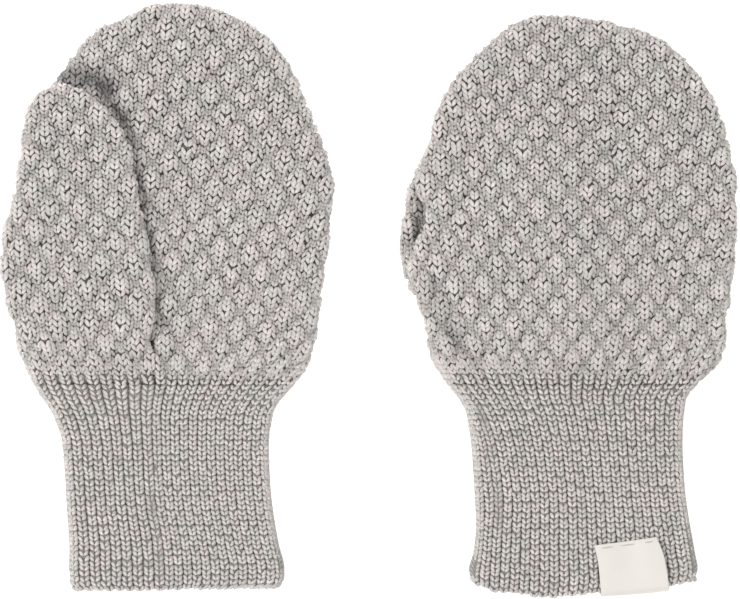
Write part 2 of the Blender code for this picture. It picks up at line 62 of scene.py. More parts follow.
# How the layers lie on each other
LYING_GAP = 0.4
HAND_SEAM = PANEL_THICK + LYING_GAP / 2
THUMB_SLACK = 0.1
DRAPED_SLACK = 0.25
RIGHT_SEAM = HAND_SEAM + DRAPED_SLACK
DRAPE_MARGIN = 2.0
DRAPE_SLOPE = 20.0

# How the thumb's outer sheet rises over its hidden edge
ROOT_MARGIN = 3.0
ROOT_CLEAR = 1.8
ROOT_STEP = 3.5
EDGE_CURL = 7.0

# The cuff's slot between its two layers, and its rounded hem
SLOT = 0.5
LEFT_OPEN_SLOT = 1.0
LABEL_SLOT = 1.6
LABEL_SLOT_REACH = 14.0
LABEL_SLOT_CLOSING = 14.0
SLOT_INSET = 1.9
HEM_ROUND = 1.5
HEM_EDGE_PART = 0.4
HEM_LINE_REACH = 25.0

Section = namedtuple("Section", "height left right")
CuffSection = namedtuple("CuffSection", "height left seam right")
Point = namedtuple("Point", "x height")
Course = namedtuple("Course", "count x height lean pitch bow")
Knitting = namedtuple("Knitting", "rows cuff_wale")
Crease = namedtuple("Crease", "start end width depth")
Wales = namedtuple("Wales", "first seam last")
Span = namedtuple("Span", "wales courses")
Mitten = namedtuple(
    "Mitten",
    "name middle hem hand crown thumb tip cuff hem_line crotch root palm_edge"
    " hand_knitting thumb_knitting wales slot",
)

LEFT = Mitten(
    name="left",
    middle=-51.8,
    hem=-74.41,
    hand=[
        Section(53.1, -34.4, 33.2),
        Section(56.5, -36.3, 35.3),
        Section(62.0, -37.5, 37.6),
        Section(68.0, -38.4, 38.8),
        Section(74.0, -38.9, 39.3),
        Section(82.0, -39.0, 40.6),
        Section(89.0, -38.7, 41.4),
        Section(97.0, -38.1, 42.3),
        Section(105.0, -37.3, 42.7),
        Section(112.0, -36.1, 40.9),
        Section(120.0, -34.4, 37.8),
        Section(126.0, -31.9, 35.4),
        Section(132.3, -27.6, 32.7),
    ],
    crown=[
        Point(-27.6, 132.3),
        Point(-22.2, 139.2),
        Point(-17.9, 143.8),
        Point(-11.8, 146.3),
        Point(-5.6, 149.2),
        Point(1.5, 150.4),
        Point(9.7, 149.6),
        Point(17.4, 147.0),
        Point(25.0, 142.4),
        Point(29.6, 137.2),
        Point(32.7, 132.3),
    ],
    thumb=[
        Section(53.1, -34.4, -2.9),
        Section(58.0, -36.7, -3.6),
        Section(63.0, -38.1, -4.1),
        Section(68.0, -39.2, -3.4),
        Section(74.0, -40.9, -2.4),
        Section(82.0, -42.2, -3.4),
        Section(92.0, -41.6, -5.0),
        Section(100.0, -39.3, -6.8),
        Section(107.0, -38.0, -7.8),
        Section(113.0, -37.3, -9.0),
        Section(119.0, -36.3, -11.6),
        Section(123.5, -35.3, -15.0),
    ],
    tip=[
        Point(-35.3, 123.5),
        Point(-33.0, 127.0),
        Point(-26.3, 129.3),
        Point(-19.0, 126.8),
        Point(-15.0, 123.5),
    ],
    cuff=[
        CuffSection(0.0, -22.6, -0.4, 26.6),
        CuffSection(1.5, -24.6, -0.4, 29.6),
        CuffSection(4.0, -25.0, -0.4, 30.2),
        CuffSection(12.0, -25.1, -0.9, 28.7),
        CuffSection(22.0, -25.8, -2.6, 27.1),
        CuffSection(31.0, -26.3, -3.3, 26.4),
        CuffSection(40.0, -27.3, -3.6, 26.4),
        CuffSection(46.5, -30.0, -3.7, 27.6),
        CuffSection(49.6, -32.4, -3.3, 29.9),
        CuffSection(52.8, -34.3, -2.8, 33.0),
    ],
    hem_line=[Point(-25.0, 0.0), Point(0.0, 0.3), Point(30.0, 0.8)],
    crotch=Point(-4.0, 64.0),
    root=Point(-41.4, 77.0),
    palm_edge=[Point(-38.9, 77.0), Point(-3.7, 64.2), Point(-3.3, 58.5), Point(-2.6, 53.1)],
    hand_knitting=Knitting(
        [
            Course(0, -2.8, 53.0, 0, 1.38, 0),
            Course(8, -3.8, 63.2, -3, 1.78, 0),
            Course(16, -3.2, 73.6, -6, 1.85, 0),
            Course(32, -1.0, 94.2, -8, 1.95, 0),
            Course(48, 1.1, 113.9, -8, 2.1, 0),
            Course(64, 3.2, 133.3, -8, 2.2, 0),
            Course(80, 5.3, 152.6, -8, 2.2, 0),
        ],
        0,
    ),
    thumb_knitting=Knitting(
        [
            Course(0, -2.8, 53.1, 0, 1.75, 0),
            Course(8, -4.0, 63.2, 1, 1.89, 0),
            Course(16, -2.8, 73.6, 2, 2.1, 0),
            Course(24, -4.2, 84.0, 3, 2.05, 0),
            Course(31, -5.0, 92.5, 3, 2.03, 0),
            Course(43, -4.6, 107.0, 3, 2.1, 0),
            Course(54, -3.6, 120.0, 3, 2.27, 0),
            Course(66, -3.9, 134.0, 3, 2.27, 0),
        ],
        0,
    ),
    wales=Wales(-18, 0, 26),
    slot=LEFT_OPEN_SLOT,
)

RIGHT = Mitten(
    name="right",
    middle=53.7,
    hem=-75.31,
    hand=[
        Section(54.1, -34.4, 30.8),
        Section(59.8, -38.0, 36.0),
        Section(66.0, -39.0, 37.5),
        Section(72.0, -40.4, 37.9),
        Section(76.5, -42.4, 38.6),
        Section(82.0, -43.9, 39.2),
        Section(88.0, -42.6, 40.1),
        Section(92.0, -40.6, 40.2),
        Section(96.5, -39.2, 40.3),
        Section(101.0, -40.8, 40.4),
        Section(105.0, -42.8, 40.2),
        Section(111.0, -40.3, 39.3),
        Section(116.0, -38.2, 38.0),
        Section(122.0, -37.2, 36.2),
        Section(128.0, -34.7, 33.8),
        Section(133.2, -31.3, 30.5),
    ],
    crown=[
        Point(-31.3, 133.2),
        Point(-25.3, 139.2),
        Point(-19.2, 144.8),
        Point(-13.0, 147.6),
        Point(-6.9, 148.2),
        Point(0.0, 147.8),
        Point(11.5, 145.4),
        Point(20.7, 142.0),
        Point(26.8, 137.4),
        Point(30.5, 133.2),
    ],
    thumb=[
        Section(54.1, -34.4, -4.9),
        Section(60.0, -37.6, -5.6),
        Section(66.0, -38.6, -5.9),
        Section(74.0, -41.4, -4.8),
        Section(82.0, -45.0, -4.8),
        Section(90.0, -46.2, -6.6),
        Section(97.0, -45.2, -8.2),
        Section(104.0, -43.7, -10.0),
        Section(112.0, -40.0, -11.6),
        Section(119.0, -36.6, -13.3),
        Section(123.5, -34.3, -16.2),
    ],
    tip=[
        Point(-34.3, 123.5),
        Point(-31.6, 127.0),
        Point(-25.6, 129.0),
        Point(-19.6, 127.0),
        Point(-16.2, 123.5),
    ],
    cuff=[
        CuffSection(0.0, -27.6, -23.2, 29.4),
        CuffSection(3.0, -28.4, -23.0, 30.4),
        CuffSection(8.0, -27.4, -22.7, 29.8),
        CuffSection(16.0, -26.6, -22.2, 28.6),
        CuffSection(23.0, -26.8, -21.8, 27.6),
        CuffSection(32.0, -27.3, -22.6, 26.8),
        CuffSection(41.0, -28.1, -24.5, 26.6),
        CuffSection(47.5, -29.4, -27.2, 27.1),
        CuffSection(50.6, -31.4, -29.4, 27.8),
        CuffSection(53.8, -34.2, -32.0, 30.6),
    ],
    hem_line=[
        Point(-28.4, 3.6),
        Point(-24.0, 1.4),
        Point(-16.0, 0.2),
        Point(-7.0, -0.7),
        Point(3.0, 0.2),
        Point(14.0, 0.9),
        Point(22.0, 1.8),
        Point(30.0, 3.6),
    ],
    crotch=Point(-5.8, 67.0),
    root=Point(-42.8, 77.0),
    palm_edge=[Point(-42.6, 77.0), Point(-5.5, 67.2), Point(-5.2, 60.0), Point(-4.5, 54.1)],
    hand_knitting=Knitting(
        [
            Course(0, -2.2, 53.8, 0, 1.49, 0),
            Course(8, -2.0, 64.0, 0, 1.8, 0),
            Course(15, -2.0, 72.0, 0, 1.86, 0),
            Course(24, -2.0, 83.5, -1, 1.9, 0),
            Course(34, -2.0, 96.0, -2, 2.05, 0),
            Course(46, -2.0, 110.5, -3, 2.1, 0),
            Course(62, -2.0, 130.0, -4, 2.25, 0),
            Course(80, -2.0, 151.0, -4, 2.25, 0),
        ],
        0,
    ),
    thumb_knitting=Knitting(
        [
            Course(0, -4.6, 53.8, 0, 1.75, 0),
            Course(16, -5.0, 74.0, 6, 2.1, 0),
            Course(32, -6.6, 94.0, 14, 2.1, 0),
            Course(64, -8.0, 133.0, 14, 2.2, 0),
        ],
        -2,
    ),
    wales=Wales(-24, -20, 22),
    slot=LABEL_SLOT,
)
CUFF_COURSES = 41

# Soft troughs in the cloth, from where to where, with their half width and depth; the stitches in them also
# get painted shade, darker the deeper the trough
LEFT_PALM_CREASES = [
    Crease(Point(-26.8, 131.8), Point(-15.4, 129.2), 2.8, 1.5),
    Crease(Point(-15.8, 127.6), Point(-11.6, 121.0), 2.0, 1.1),
    Crease(Point(-10.9, 119.0), Point(-9.8, 113.0), 2.0, 0.8),
    Crease(Point(-9.0, 109.5), Point(-7.6, 102.5), 1.9, 0.7),
    Crease(Point(-7.0, 99.0), Point(-5.4, 90.0), 1.8, 0.6),
    Crease(Point(-5.0, 87.0), Point(-3.5, 68.0), 1.7, 0.5),
    Crease(Point(-2.9, 62.2), Point(-2.0, 55.0), 2.4, -2.4),
]
LEFT_THUMB_CREASES = [
    Crease(Point(-33.7, 113.3), Point(-20.0, 112.7), 1.3, 0.4),
]
LEFT_SEAM_CREASES = [
    Crease(Point(-3.9, 52.0), Point(-3.0, 33.0), 0.9, 0.3),
    Crease(Point(-3.0, 31.5), Point(-3.0, 29.8), 0.7, 0.9),
    Crease(Point(-3.0, 28.0), Point(-3.5, 21.5), 0.9, 0.5),
    Crease(Point(-3.3, 20.5), Point(-1.6, 14.0), 1.0, 0.4),
    Crease(Point(-1.5, 13.0), Point(-0.6, 1.0), 0.9, 0.35),
]
RIGHT_SEAM_CREASES = [
    Crease(Point(-25.4, 49.0), Point(-23.1, 35.5), 1.0, 0.5),
    Crease(Point(-22.9, 34.0), Point(-21.2, 25.5), 0.9, 0.4),
    Crease(Point(-21.0, 24.0), Point(-19.9, 15.0), 1.0, 0.45),
]
RIGHT_POCKET_CREASES = [
    Crease(Point(-40.2, 99.3), Point(-41.4, 91.4), 1.5, 1.2),
]
RIGHT_BACK_CREASES = [
    Crease(Point(-38.5, 79.0), Point(-30.0, 62.0), 2.2, 0.5),
    Crease(Point(-33.7, 68.7), Point(-24.0, 54.5), 1.6, 0.4),
]

# The label's outer leaf on the right cuff, as its left and right sides from the hem up
LABEL_SIDES = [
    Section(0.3, 5.4, 22.8),
    Section(4.0, 5.1, 22.3),
    Section(9.0, 4.6, 21.3),
    Section(13.4, 3.7, 19.6),
]
LABEL_THICK = 0.5
LABEL_LEAN = 1.6
LABEL_COLUMNS = 48
LABEL_LEAF_HEIGHTS = np.linspace(13.4, 1.2, 36)
LABEL_TUCK_HEIGHTS = np.linspace(1.2, 6.0, 8)
LABEL_FOLD_ANGLES = np.linspace(12.0, 168.0, 12)
LABEL_WAVE = 0.25
LABEL_STITCHES = [(0.07, 0.31), (0.37, 0.67), (0.77, 0.93)]
LABEL_STITCH_DROP = 0.95
THREAD_RADIUS = 0.16

# The bubble pattern: wales and courses in one repeat, whose second half is set over by half a repeat
BUBBLE_WALES = 4
BUBBLE_COURSES = 8
BUBBLE_FULLNESS = 0.6
VALLEY_SOFTNESS = 0.06
BUBBLE_GROWTH = 3.5
PIT_DEPTH = 0.5
PIT_ASIDE = 0.75
PIT_WIDTH = 0.35
PIT_HEIGHT = 0.9
SCALLOP = 0.5
PINCH_ACROSS = 0.17
PINCH_UPWARD = 0.3

# How the columns of the cuff's ribs run on into the hand, and where the ribs give way to plain knitting
JOIN_COURSES = 14.0
RIBS_END = -1.0
RIBS_EASE = 5.0
PURL_SINK = 0.75
PURL_COURSES = 4
PURL_THINNER = 0.3
RIB_SHADE = 0.12

# One stitch: two legs that make a V, from its foot up and out to its shoulder, in wales and courses
FOOT = 0.05
SHOULDER = 0.47
RIB_FOOT = 0.17
RIB_SHOULDER = 0.84
LEG_START = -0.12
LEG_RISE = 1.22
RIB_LEG_START = 0.04
RIB_LEG_RISE = 0.98
LEG_ARCH = 0.34
YARN_RADIUS = 0.47
BUBBLE_YARN_GROWTH = 0.2
RIB_YARN_RADIUS = 0.5
YARN_FLATNESS = 0.85
YARN_SINK = 0.45
EDGE_INSET = 0.42
PAST_EDGE_ANGLE = -0.4
STITCH_MIDDLE = 0.35
FACING_STEP = 0.3
LEG_RINGS = [0.07, 0.35, 0.65, 0.93]
LEG_TAPER = [0.66, 1.0, 1.0, 0.66]
LEG_SIDES = 5
LEG_TIP = 0.06
UNEVEN = 0.085
# Painted shade: how much darker a stitch's colour is made for each millimetre of crease it lies in, counted
# up to MOST_SAG
CREASE_PAINTED_SHADE = 0.34
MOST_SAG = 2.0
# Painted shade: how much darker the yarn and the bare cloth are coloured in the bubbles' valleys
VALLEY_PAINTED_SHADE = 0.25
HAND_SHADE = 0.04
# Painted shade: how much darker the purl wales, sunk between the cuff's ribs, are coloured
PURL_PAINTED_SHADE = 0.15
TONE_SPREAD = 0.05

# The bed of cloth under the stitches
BED_SINK = 0.98
BED_INSET = 0.75
CUFF_BED_INSET = 0.15
CUFF_TOP_REACH = 5.0
CUFF_BED_SINK = 0.7
HEM_BED_INSET = 0.35
BED_LEAST = 0.25
JOIN_REACH = 5.0
JOIN_LAP = 0.35
HIDDEN_BY_THUMB = 2.6
RIM_WIDTH = 3.4
LEAST_LEFT_OVER = 0.1
POCKET_WIDTH = 7.5
POCKET_TOP = 125.0
PALM_RIM_REACH = 12.0
SPLIT_COURSE = 39

# Wales and courses that cover each fabric; stitches past its outline are left out
LEFT_HAND = Span((-24, 29), (0, 84))
LEFT_THUMB = Span((-22, 4), (0, 65))
LEFT_INNER_THUMB = Span((-22, 4), (8, 65))
RIGHT_HAND = Span((-27, 26), (0, 80))
RIGHT_THUMB = Span((-24, 4), (0, 63))
RIGHT_INNER_THUMB = Span((-24, 4), (8, 63))

# How the place in the knitting under a plan point is searched for
SEARCH_COURSE_HEIGHT = 1.24
SEARCH_ROUNDS = 12
SEARCH_STEP = 0.1

PANEL_CELLS = (64, 60)
PLAIN_CELLS = (40, 38)
THUMB_CELLS = (30, 52)
HIDDEN_THUMB_CELLS = (22, 28)
CUFF_CELLS_EACH_RIB = 4
CUFF_ROW_COUNT = 34
CUFF_ROW_CLOSING = 1.2
OUTLINE_STEPS = 40
CHUNK = 8000

# The photograph's frame: its size in pixels, the real size of one, and where its middle lies
PHOTO_WIDTH = 740
PIXEL = 0.2555
PHOTO_MIDDLE = (0.18, 0.13)
LENS = 300.0
SENSOR = 36.0
SHARP_HEIGHT = 4.0


def smooth(stations, values, at):
    """Smooth line through a table's values, with each station's mean slope."""
    stations = np.asarray(stations, float)
    values = np.asarray(values, float)
    slopes = np.gradient(values, stations)
    at = np.clip(at, stations[0], stations[-1])
    span = np.clip(np.searchsorted(stations, at, side="right") - 1, 0, len(stations) - 2)
    width = stations[span + 1] - stations[span]
    part = (at - stations[span]) / width
    start = (1 + 2 * part) * (1 - part) ** 2 * values[span] + part * (1 - part) ** 2 * width * slopes[span]
    end = part**2 * (3 - 2 * part) * values[span + 1] - part**2 * (1 - part) * width * slopes[span + 1]
    return start + end


def ease(part):
    """Slope that starts and ends level, from 0 to 1."""
    part = np.clip(part, 0, 1)
    return part * part * (3 - 2 * part)


def turned_edge(distance, reach=EDGE_TURN):
    """Height of a turned edge: 0 at the outline and 1 beyond its reach."""
    part = np.clip(distance / reach, 0, 1)
    return np.sqrt(1 - (1 - part) ** 2)


def column(table, name):
    return [getattr(row, name) for row in table]


def along(points, parts, curved=True):
    """Points at these parts of a line's length."""
    points = np.asarray(points, float)
    lengths = np.concatenate([[0], np.cumsum(np.linalg.norm(np.diff(points, axis=0), axis=1))])
    at = np.asarray(parts) * lengths[-1]
    line = smooth if curved else lambda stations, values, at: np.interp(at, stations, values)
    return np.stack([line(lengths, points[:, axis], at) for axis in range(2)], axis=1)


def side(sections, name):
    return [Point(getattr(section, name), section.height) for section in sections]


def from_point(start, line):
    """A line that begins anew at this point, with only the points above it."""
    return [start] + [point for point in line if point.height > start.height]

def patch(base, left, right, crown, cells):
    """Grid of plan points between four lines that meet at their ends."""
    across = np.linspace(0, 1, cells[0] + 1)
    upward = np.linspace(0, 1, cells[1] + 1)
    low = along(base, across, curved=False)[None]
    high = along(crown, across)[None]
    near = along(left, upward)[:, None]
    far = along(right, upward)[:, None]
    u = across[None, :, None]
    v = upward[:, None, None]
    low_corners = (1 - u) * low[:, :1] + u * low[:, -1:]
    high_corners = (1 - u) * high[:, :1] + u * high[:, -1:]
    corners = (1 - v) * low_corners + v * high_corners
    return (1 - v) * low + v * high + (1 - u) * near + u * far - corners


def outline(left, crown, right):
    """Fine points up one side, over the crown and down the other side."""
    parts = np.linspace(0, 1, OUTLINE_STEPS)
    return np.concatenate([along(left, parts), along(crown, parts)[1:], along(right, parts)[::-1][1:]])


def edge_of(plan, line):
    """How far in from an outline each plan point is, less than 0 outside it, and the way in from there."""
    start = line[:-1]
    step = line[1:] - start
    long = np.linalg.norm(step, axis=1)
    inward = np.stack([step[:, 1], -step[:, 0]], axis=1) / long[:, None]
    points = plan.reshape(-1, 2)
    distances = []
    ways = []
    for first in range(0, len(points), CHUNK):
        offset = points[first : first + CHUNK, None] - start
        part = np.clip((offset * step).sum(-1) / long**2, 0, 1)
        gap = offset - part[..., None] * step
        squared = (gap**2).sum(-1)
        best = squared.argmin(1)
        rows = np.arange(len(best))
        within = np.sign((gap[rows, best] * inward[best]).sum(-1))
        distances.append(within * np.sqrt(squared[rows, best]))
        ways.append(inward[best])
    return np.concatenate(distances).reshape(plan.shape[:-1]), np.concatenate(ways).reshape(plan.shape)


def cuff_sides(mitten):
    """The cuff's two sides from the hem up, as points."""
    return side(mitten.cuff, "left"), side(mitten.cuff, "right")


def hand_outline(mitten):
    return outline(side(mitten.hand, "left"), mitten.crown, side(mitten.hand, "right"))


def thumb_outline(mitten):
    return outline(side(mitten.thumb, "left"), mitten.tip, side(mitten.thumb, "right"))


def whole_outline(mitten):
    """Outline of the mitten from the cuff's hem up one side and down the other."""
    low, high = (np.array(line, float)[1:-1] for line in cuff_sides(mitten))
    return np.concatenate([low, hand_outline(mitten), high[::-1]])


def free_thumb_outline(mitten):
    """Outline of the thumb with its cuff side, down its inner side to the crotch and then out of the way."""
    inner = from_point(mitten.crotch, side(mitten.thumb, "right"))
    low, _ = cuff_sides(mitten)
    thumb = outline(side(mitten.thumb, "left"), mitten.tip, inner)
    crotch = np.array(mitten.crotch)
    return np.concatenate([np.array(low, float)[1:-1], thumb, [crotch + (2.0, -2.0), crotch + (30.0, -6.0)]])


def above_root(mitten, plan):
    """Distance above the thumb's hidden edge, which runs from the crotch to the thumb's root."""
    direction = np.array(mitten.root) - np.array(mitten.crotch)
    direction /= np.linalg.norm(direction)
    offset = plan - np.array(mitten.crotch)
    return direction[1] * offset[..., 0] - direction[0] * offset[..., 1]


def root_rise(mitten, plan):
    """Gentle rise from the cuff's top, 0 there and 1 just short of the thumb's hidden edge."""
    crotch = mitten.crotch
    lean = (mitten.root.height - crotch.height) / (mitten.root.x - crotch.x)
    full_height = crotch.height + lean * (plan[..., 0] - crotch.x) - ROOT_MARGIN
    full_height = np.maximum(full_height, crotch.height - ROOT_MARGIN)
    cuff_top = mitten.hand[0].height
    return ease((plan[..., 1] - cuff_top) / (full_height - cuff_top))


def root_step(mitten, plan):
    """Abrupt rise of the thumb's own edges, just short of its hidden edge."""
    return ease(1 + (above_root(mitten, plan) + ROOT_CLEAR) / ROOT_STEP)


def drape(mitten, plan):
    """How far the right hand is lifted where it lies over its thumb: 1 over it, easing to 0 beside it."""
    inside, _ = edge_of(plan, thumb_outline(mitten))
    return ease(1 + (inside + DRAPE_MARGIN) / DRAPE_SLOPE) * root_rise(mitten, plan)


def hem_lift(mitten, x, height):
    """How far the hem's own line lifts a point of the cuff, fading out up the cuff."""
    hem = smooth(column(mitten.hem_line, "x"), column(mitten.hem_line, "height"), x)
    return hem * np.clip(1 - height / HEM_LINE_REACH, 0, 1)


def cuff_level_height(mitten, course):
    """Height above the hem of a course of the cuff."""
    return mitten.cuff[-1].height * (1 + course / CUFF_COURSES)


def cuff_place(mitten, wale, course):
    """Plan point of a place in the cuff's ribs."""
    height = cuff_level_height(mitten, course)
    heights = column(mitten.cuff, "height")
    lines = (column(mitten.cuff, name) for name in ("left", "seam", "right"))
    left, seam, right = (smooth(heights, line, height) for line in lines)
    wales = mitten.wales
    beside = left + (seam - left) * (wale - wales.first) / (wales.seam - wales.first)
    beyond = seam + (right - seam) * (wale - wales.seam) / (wales.last - wales.seam)
    x = np.where(wale < wales.seam, beside, beyond)
    return np.stack([x, height + hem_lift(mitten, x, height)], axis=-1)


def row_place(rows, wale, course):
    """Plan point of a place in the knitting of a hand or thumb, by its own rows alone."""
    counts = column(rows, "count")
    x, height, lean, pitch, bow = (
        smooth(counts, column(rows, name), course) for name in ("x", "height", "lean", "pitch", "bow")
    )
    lean = np.radians(lean)
    bent = height + pitch * wale * np.sin(lean) + bow * (wale / 10) ** 2
    return np.stack([x + pitch * wale * np.cos(lean), bent], axis=-1)


def hand_place(mitten, knitting, wale, course):
    """Plan point of a place in a hand or thumb, whose first courses ease into the columns of the cuff."""
    at_cuff = cuff_place(mitten, wale + knitting.cuff_wale, np.zeros_like(course))
    out_of_line = at_cuff - row_place(knitting.rows, wale, np.zeros_like(course))
    near_cuff = 1 - ease(course / JOIN_COURSES)
    return row_place(knitting.rows, wale, course) + out_of_line * near_cuff[..., None]


def knit_place(mitten, knitting, wale, course):
    """Plan point of a place in the knitting, in the cuff below course 0 and in the hand or thumb above it."""
    wale, course = np.broadcast_arrays(np.asarray(wale, float), course)
    in_cuff = cuff_place(mitten, wale + knitting.cuff_wale, np.minimum(course, 0))
    in_hand = hand_place(mitten, knitting, wale, np.maximum(course, 0))
    return np.where(course[..., None] < 0, in_cuff, in_hand)


def knit_at(mitten, knitting, plan):
    """Wale and course of plan points on the hand or thumb."""
    rows = knitting.rows
    wale = (plan[..., 0] - rows[0].x) / rows[0].pitch
    course = (plan[..., 1] - mitten.cuff[-1].height) / SEARCH_COURSE_HEIGHT
    small = SEARCH_STEP
    for _ in range(SEARCH_ROUNDS):
        course = np.clip(course, 0.0, rows[-1].count - small)
        here = hand_place(mitten, knitting, wale, course)
        gap = plan - here
        across = (hand_place(mitten, knitting, wale + small, course) - here) / small
        upward = (hand_place(mitten, knitting, wale, course + small) - here) / small
        area = across[..., 0] * upward[..., 1] - across[..., 1] * upward[..., 0]
        area = np.where(np.abs(area) < 0.5, 0.5, area)
        wale = wale + np.clip((gap[..., 0] * upward[..., 1] - gap[..., 1] * upward[..., 0]) / area, -3, 3)
        course = course + np.clip((across[..., 0] * gap[..., 1] - across[..., 1] * gap[..., 0]) / area, -4, 4)
    return wale, np.clip(course, 0.0, rows[-1].count - small)


def gather_offset(wale, course):
    """How far, in wales and courses, a place is from the nearest gathering stitch of the bubble pattern."""
    half = BUBBLE_COURSES // 2
    row = np.round(course / half)
    shift = (BUBBLE_WALES / 2) * (row % 2)
    aside = wale - shift - BUBBLE_WALES * np.round((wale - shift) / BUBBLE_WALES)
    return aside, course - half * row


def in_ribs(course):
    """How much a place is part of the ribs: 1 in the cuff, easing to 0 in the hand's first courses."""
    return 1 - ease((course - RIBS_END) / RIBS_EASE)


def pinched(wale, course):
    """Places in the knitting, drawn towards the gathering stitches."""
    across = 2 * math.pi * wale / BUBBLE_WALES
    upward = 2 * math.pi * course / BUBBLE_COURSES
    grown = bubbles_grown(wale, course)
    moved_wale = wale - PINCH_ACROSS * np.sin(across) * np.cos(upward) * grown
    return moved_wale, course - PINCH_UPWARD * np.cos(across) * np.sin(upward) * grown


def bubbles_grown(wale, course):
    """How far the bubbles have grown: none where the ribs end, and full a few courses on."""
    begin = np.clip(0.8 - 0.1 * wale, -0.5, 3)
    return ease((course - begin) / BUBBLE_GROWTH)


def bubble_dome(wale, course):
    """Diamonds of the bubble pattern, 1 in their middles and 0 along the sharp valleys between them."""
    across = np.cos(2 * math.pi * wale / BUBBLE_WALES)
    upward = np.cos(2 * math.pi * course / BUBBLE_COURSES)
    return np.sqrt((upward - across) ** 2 / 4 + VALLEY_SOFTNESS**2) - VALLEY_SOFTNESS


def bubble_relief(wale, course):
    """Rise of the bubble pattern, whose valleys cross at the gathering stitches."""
    rise = BUBBLE_RISE * bubble_dome(wale, course) ** BUBBLE_FULLNESS
    aside, above = gather_offset(wale, course)
    pit = np.exp(-(((np.abs(aside) - PIT_ASIDE) / PIT_WIDTH) ** 2) - (above / PIT_HEIGHT) ** 2)
    return (rise - PIT_DEPTH * pit) * bubbles_grown(wale, course)


def crease_sag(creases, plan):
    """Depth of the soft troughs at plan points, less than 0 on a ridge."""
    sag = np.zeros(plan.shape[:-1])
    for crease in creases:
        start = np.array(crease.start)
        run = np.array(crease.end) - start
        part = np.clip(((plan - start) @ run) / (run @ run), 0, 1)
        beside = np.linalg.norm(plan - (start + part[..., None] * run), axis=-1)
        sag = sag + crease.depth * np.exp(-((beside / crease.width) ** 2))
    return sag


class Face:
    """One face of cloth: its turned outline, the seam that it rises from, its thickness and its knitting."""

    def __init__(self, mitten, knitting, edge, seam, thick, way=1, slack=0.0, creases=()):
        self.mitten = mitten
        self.knitting = knitting
        self.edge = edge
        self.seam = seam
        self.thick = thick
        self.way = way
        self.slack = slack
        self.creases = creases

    def levels(self, plan, reach, relief):
        """Heights of the inner and outer side of the cloth at plan points this far in from the outline."""
        turn = turned_edge(reach)
        seam = self.seam(plan, reach)
        inner = seam + self.way * (SEAM_GAP / 2 + ((LYING_GAP - SEAM_GAP) / 2 + self.slack) * turn)
        rise = relief - crease_sag(self.creases, plan)
        outer = inner + self.way * (EDGE_THICK + (self.thick - EDGE_THICK) * turn + rise * turn)
        return inner, outer

    def relief(self, wale, course):
        """Rise of the bubbles, and of the ribs where they run on into the hand; a lower face lies flat."""
        if self.way < 0:
            return np.zeros(np.shape(course))
        ribs = RIB_RISE * rib_profile(wale + self.knitting.cuff_wale) * in_ribs(course)
        return bubble_relief(wale, course) + ribs

    def yarn_level(self, plan, reach, wale, course):
        """Height of the middle of the yarn."""
        _, outer = self.levels(plan, reach, self.relief(wale, course))
        return outer - self.way * YARN_SINK


class CuffFace:
    """The upper or lower face of a cuff, whose ribs stand up on top."""

    def __init__(self, mitten, way=1, creases=()):
        self.mitten = mitten
        self.knitting = Knitting(mitten.hand_knitting.rows, 0)
        self.edge = whole_outline(mitten)
        self.way = way
        self.creases = creases

    def relief(self, wale, course):
        return np.zeros(np.shape(course))

    def levels(self, rows, reach, rib):
        """Heights of the upper and lower outer side of the cuff."""
        seam_level = CUFF_THICK + SLOT / 2
        hem_turn = HEM_EDGE_PART + (1 - HEM_EDGE_PART) * turned_edge(rows, HEM_ROUND)
        turn = turned_edge(reach)
        top_level = CUFF_THICK + cuff_slot(self.mitten, rows)
        top = seam_level + (top_level + (CUFF_THICK + RIB_RISE * rib) * hem_turn - seam_level) * turn
        bottom = seam_level - (seam_level - CUFF_THICK * (1 - hem_turn)) * turn
        return top, bottom

    def yarn_level(self, plan, reach, wale, course):
        rows = cuff_level_height(self.mitten, course)
        top, bottom = self.levels(rows, reach, rib_profile(wale))
        turn = turned_edge(reach)
        if self.way > 0:
            return top - (YARN_SINK + crease_sag(self.creases, plan)) * turn + (1 - turn) * YARN_SINK
        return bottom + YARN_SINK * turn - (1 - turn) * YARN_SINK


def rib_profile(wale):
    """Rise of the ribs: full on each odd wale, the knit one, and none on the even ones between."""
    return 0.5 - 0.5 * np.cos(math.pi * wale)


def cuff_slot(mitten, rows):
    """Height of the slot between the cuff's layers: open at the hem, nearly closed further up."""
    return SLOT + (mitten.slot - SLOT) * (1 - ease((rows - LABEL_SLOT_REACH) / LABEL_SLOT_CLOSING))


def level_seam(height):
    """A seam that lies at one height."""
    return lambda plan, reach: np.full(plan.shape[:-1], height)


def left_thumb_seam(plan, reach):
    """The left thumb's seam rises from the palm's, over the hidden edge, to lie on the palm."""
    top = left_thumb_level()
    gentle = root_rise(LEFT, plan)
    abrupt = root_step(LEFT, plan)
    lift = gentle + (abrupt - gentle) * (1 - ease(reach / EDGE_CURL))
    return HAND_SEAM + (top - HAND_SEAM) * lift


def left_thumb_level():
    return 2 * HAND_SEAM + LYING_GAP + THUMB_THICK + LYING_GAP / 2


def right_hand_seam(plan, reach):
    """The right hand's seam is lifted where it lies over its thumb."""
    return RIGHT_SEAM + (2 * THUMB_THICK + 2 * LYING_GAP) * drape(RIGHT, plan)


def right_thumb_seam(plan, reach):
    """The right thumb's outer sheet curls up to the hand's seam along its sides below its root."""
    level = THUMB_THICK + LYING_GAP / 2
    curl = (1 - ease(reach / EDGE_CURL)) * (1 - root_step(RIGHT, plan))
    return level + (right_hand_seam(plan, reach) - level) * curl


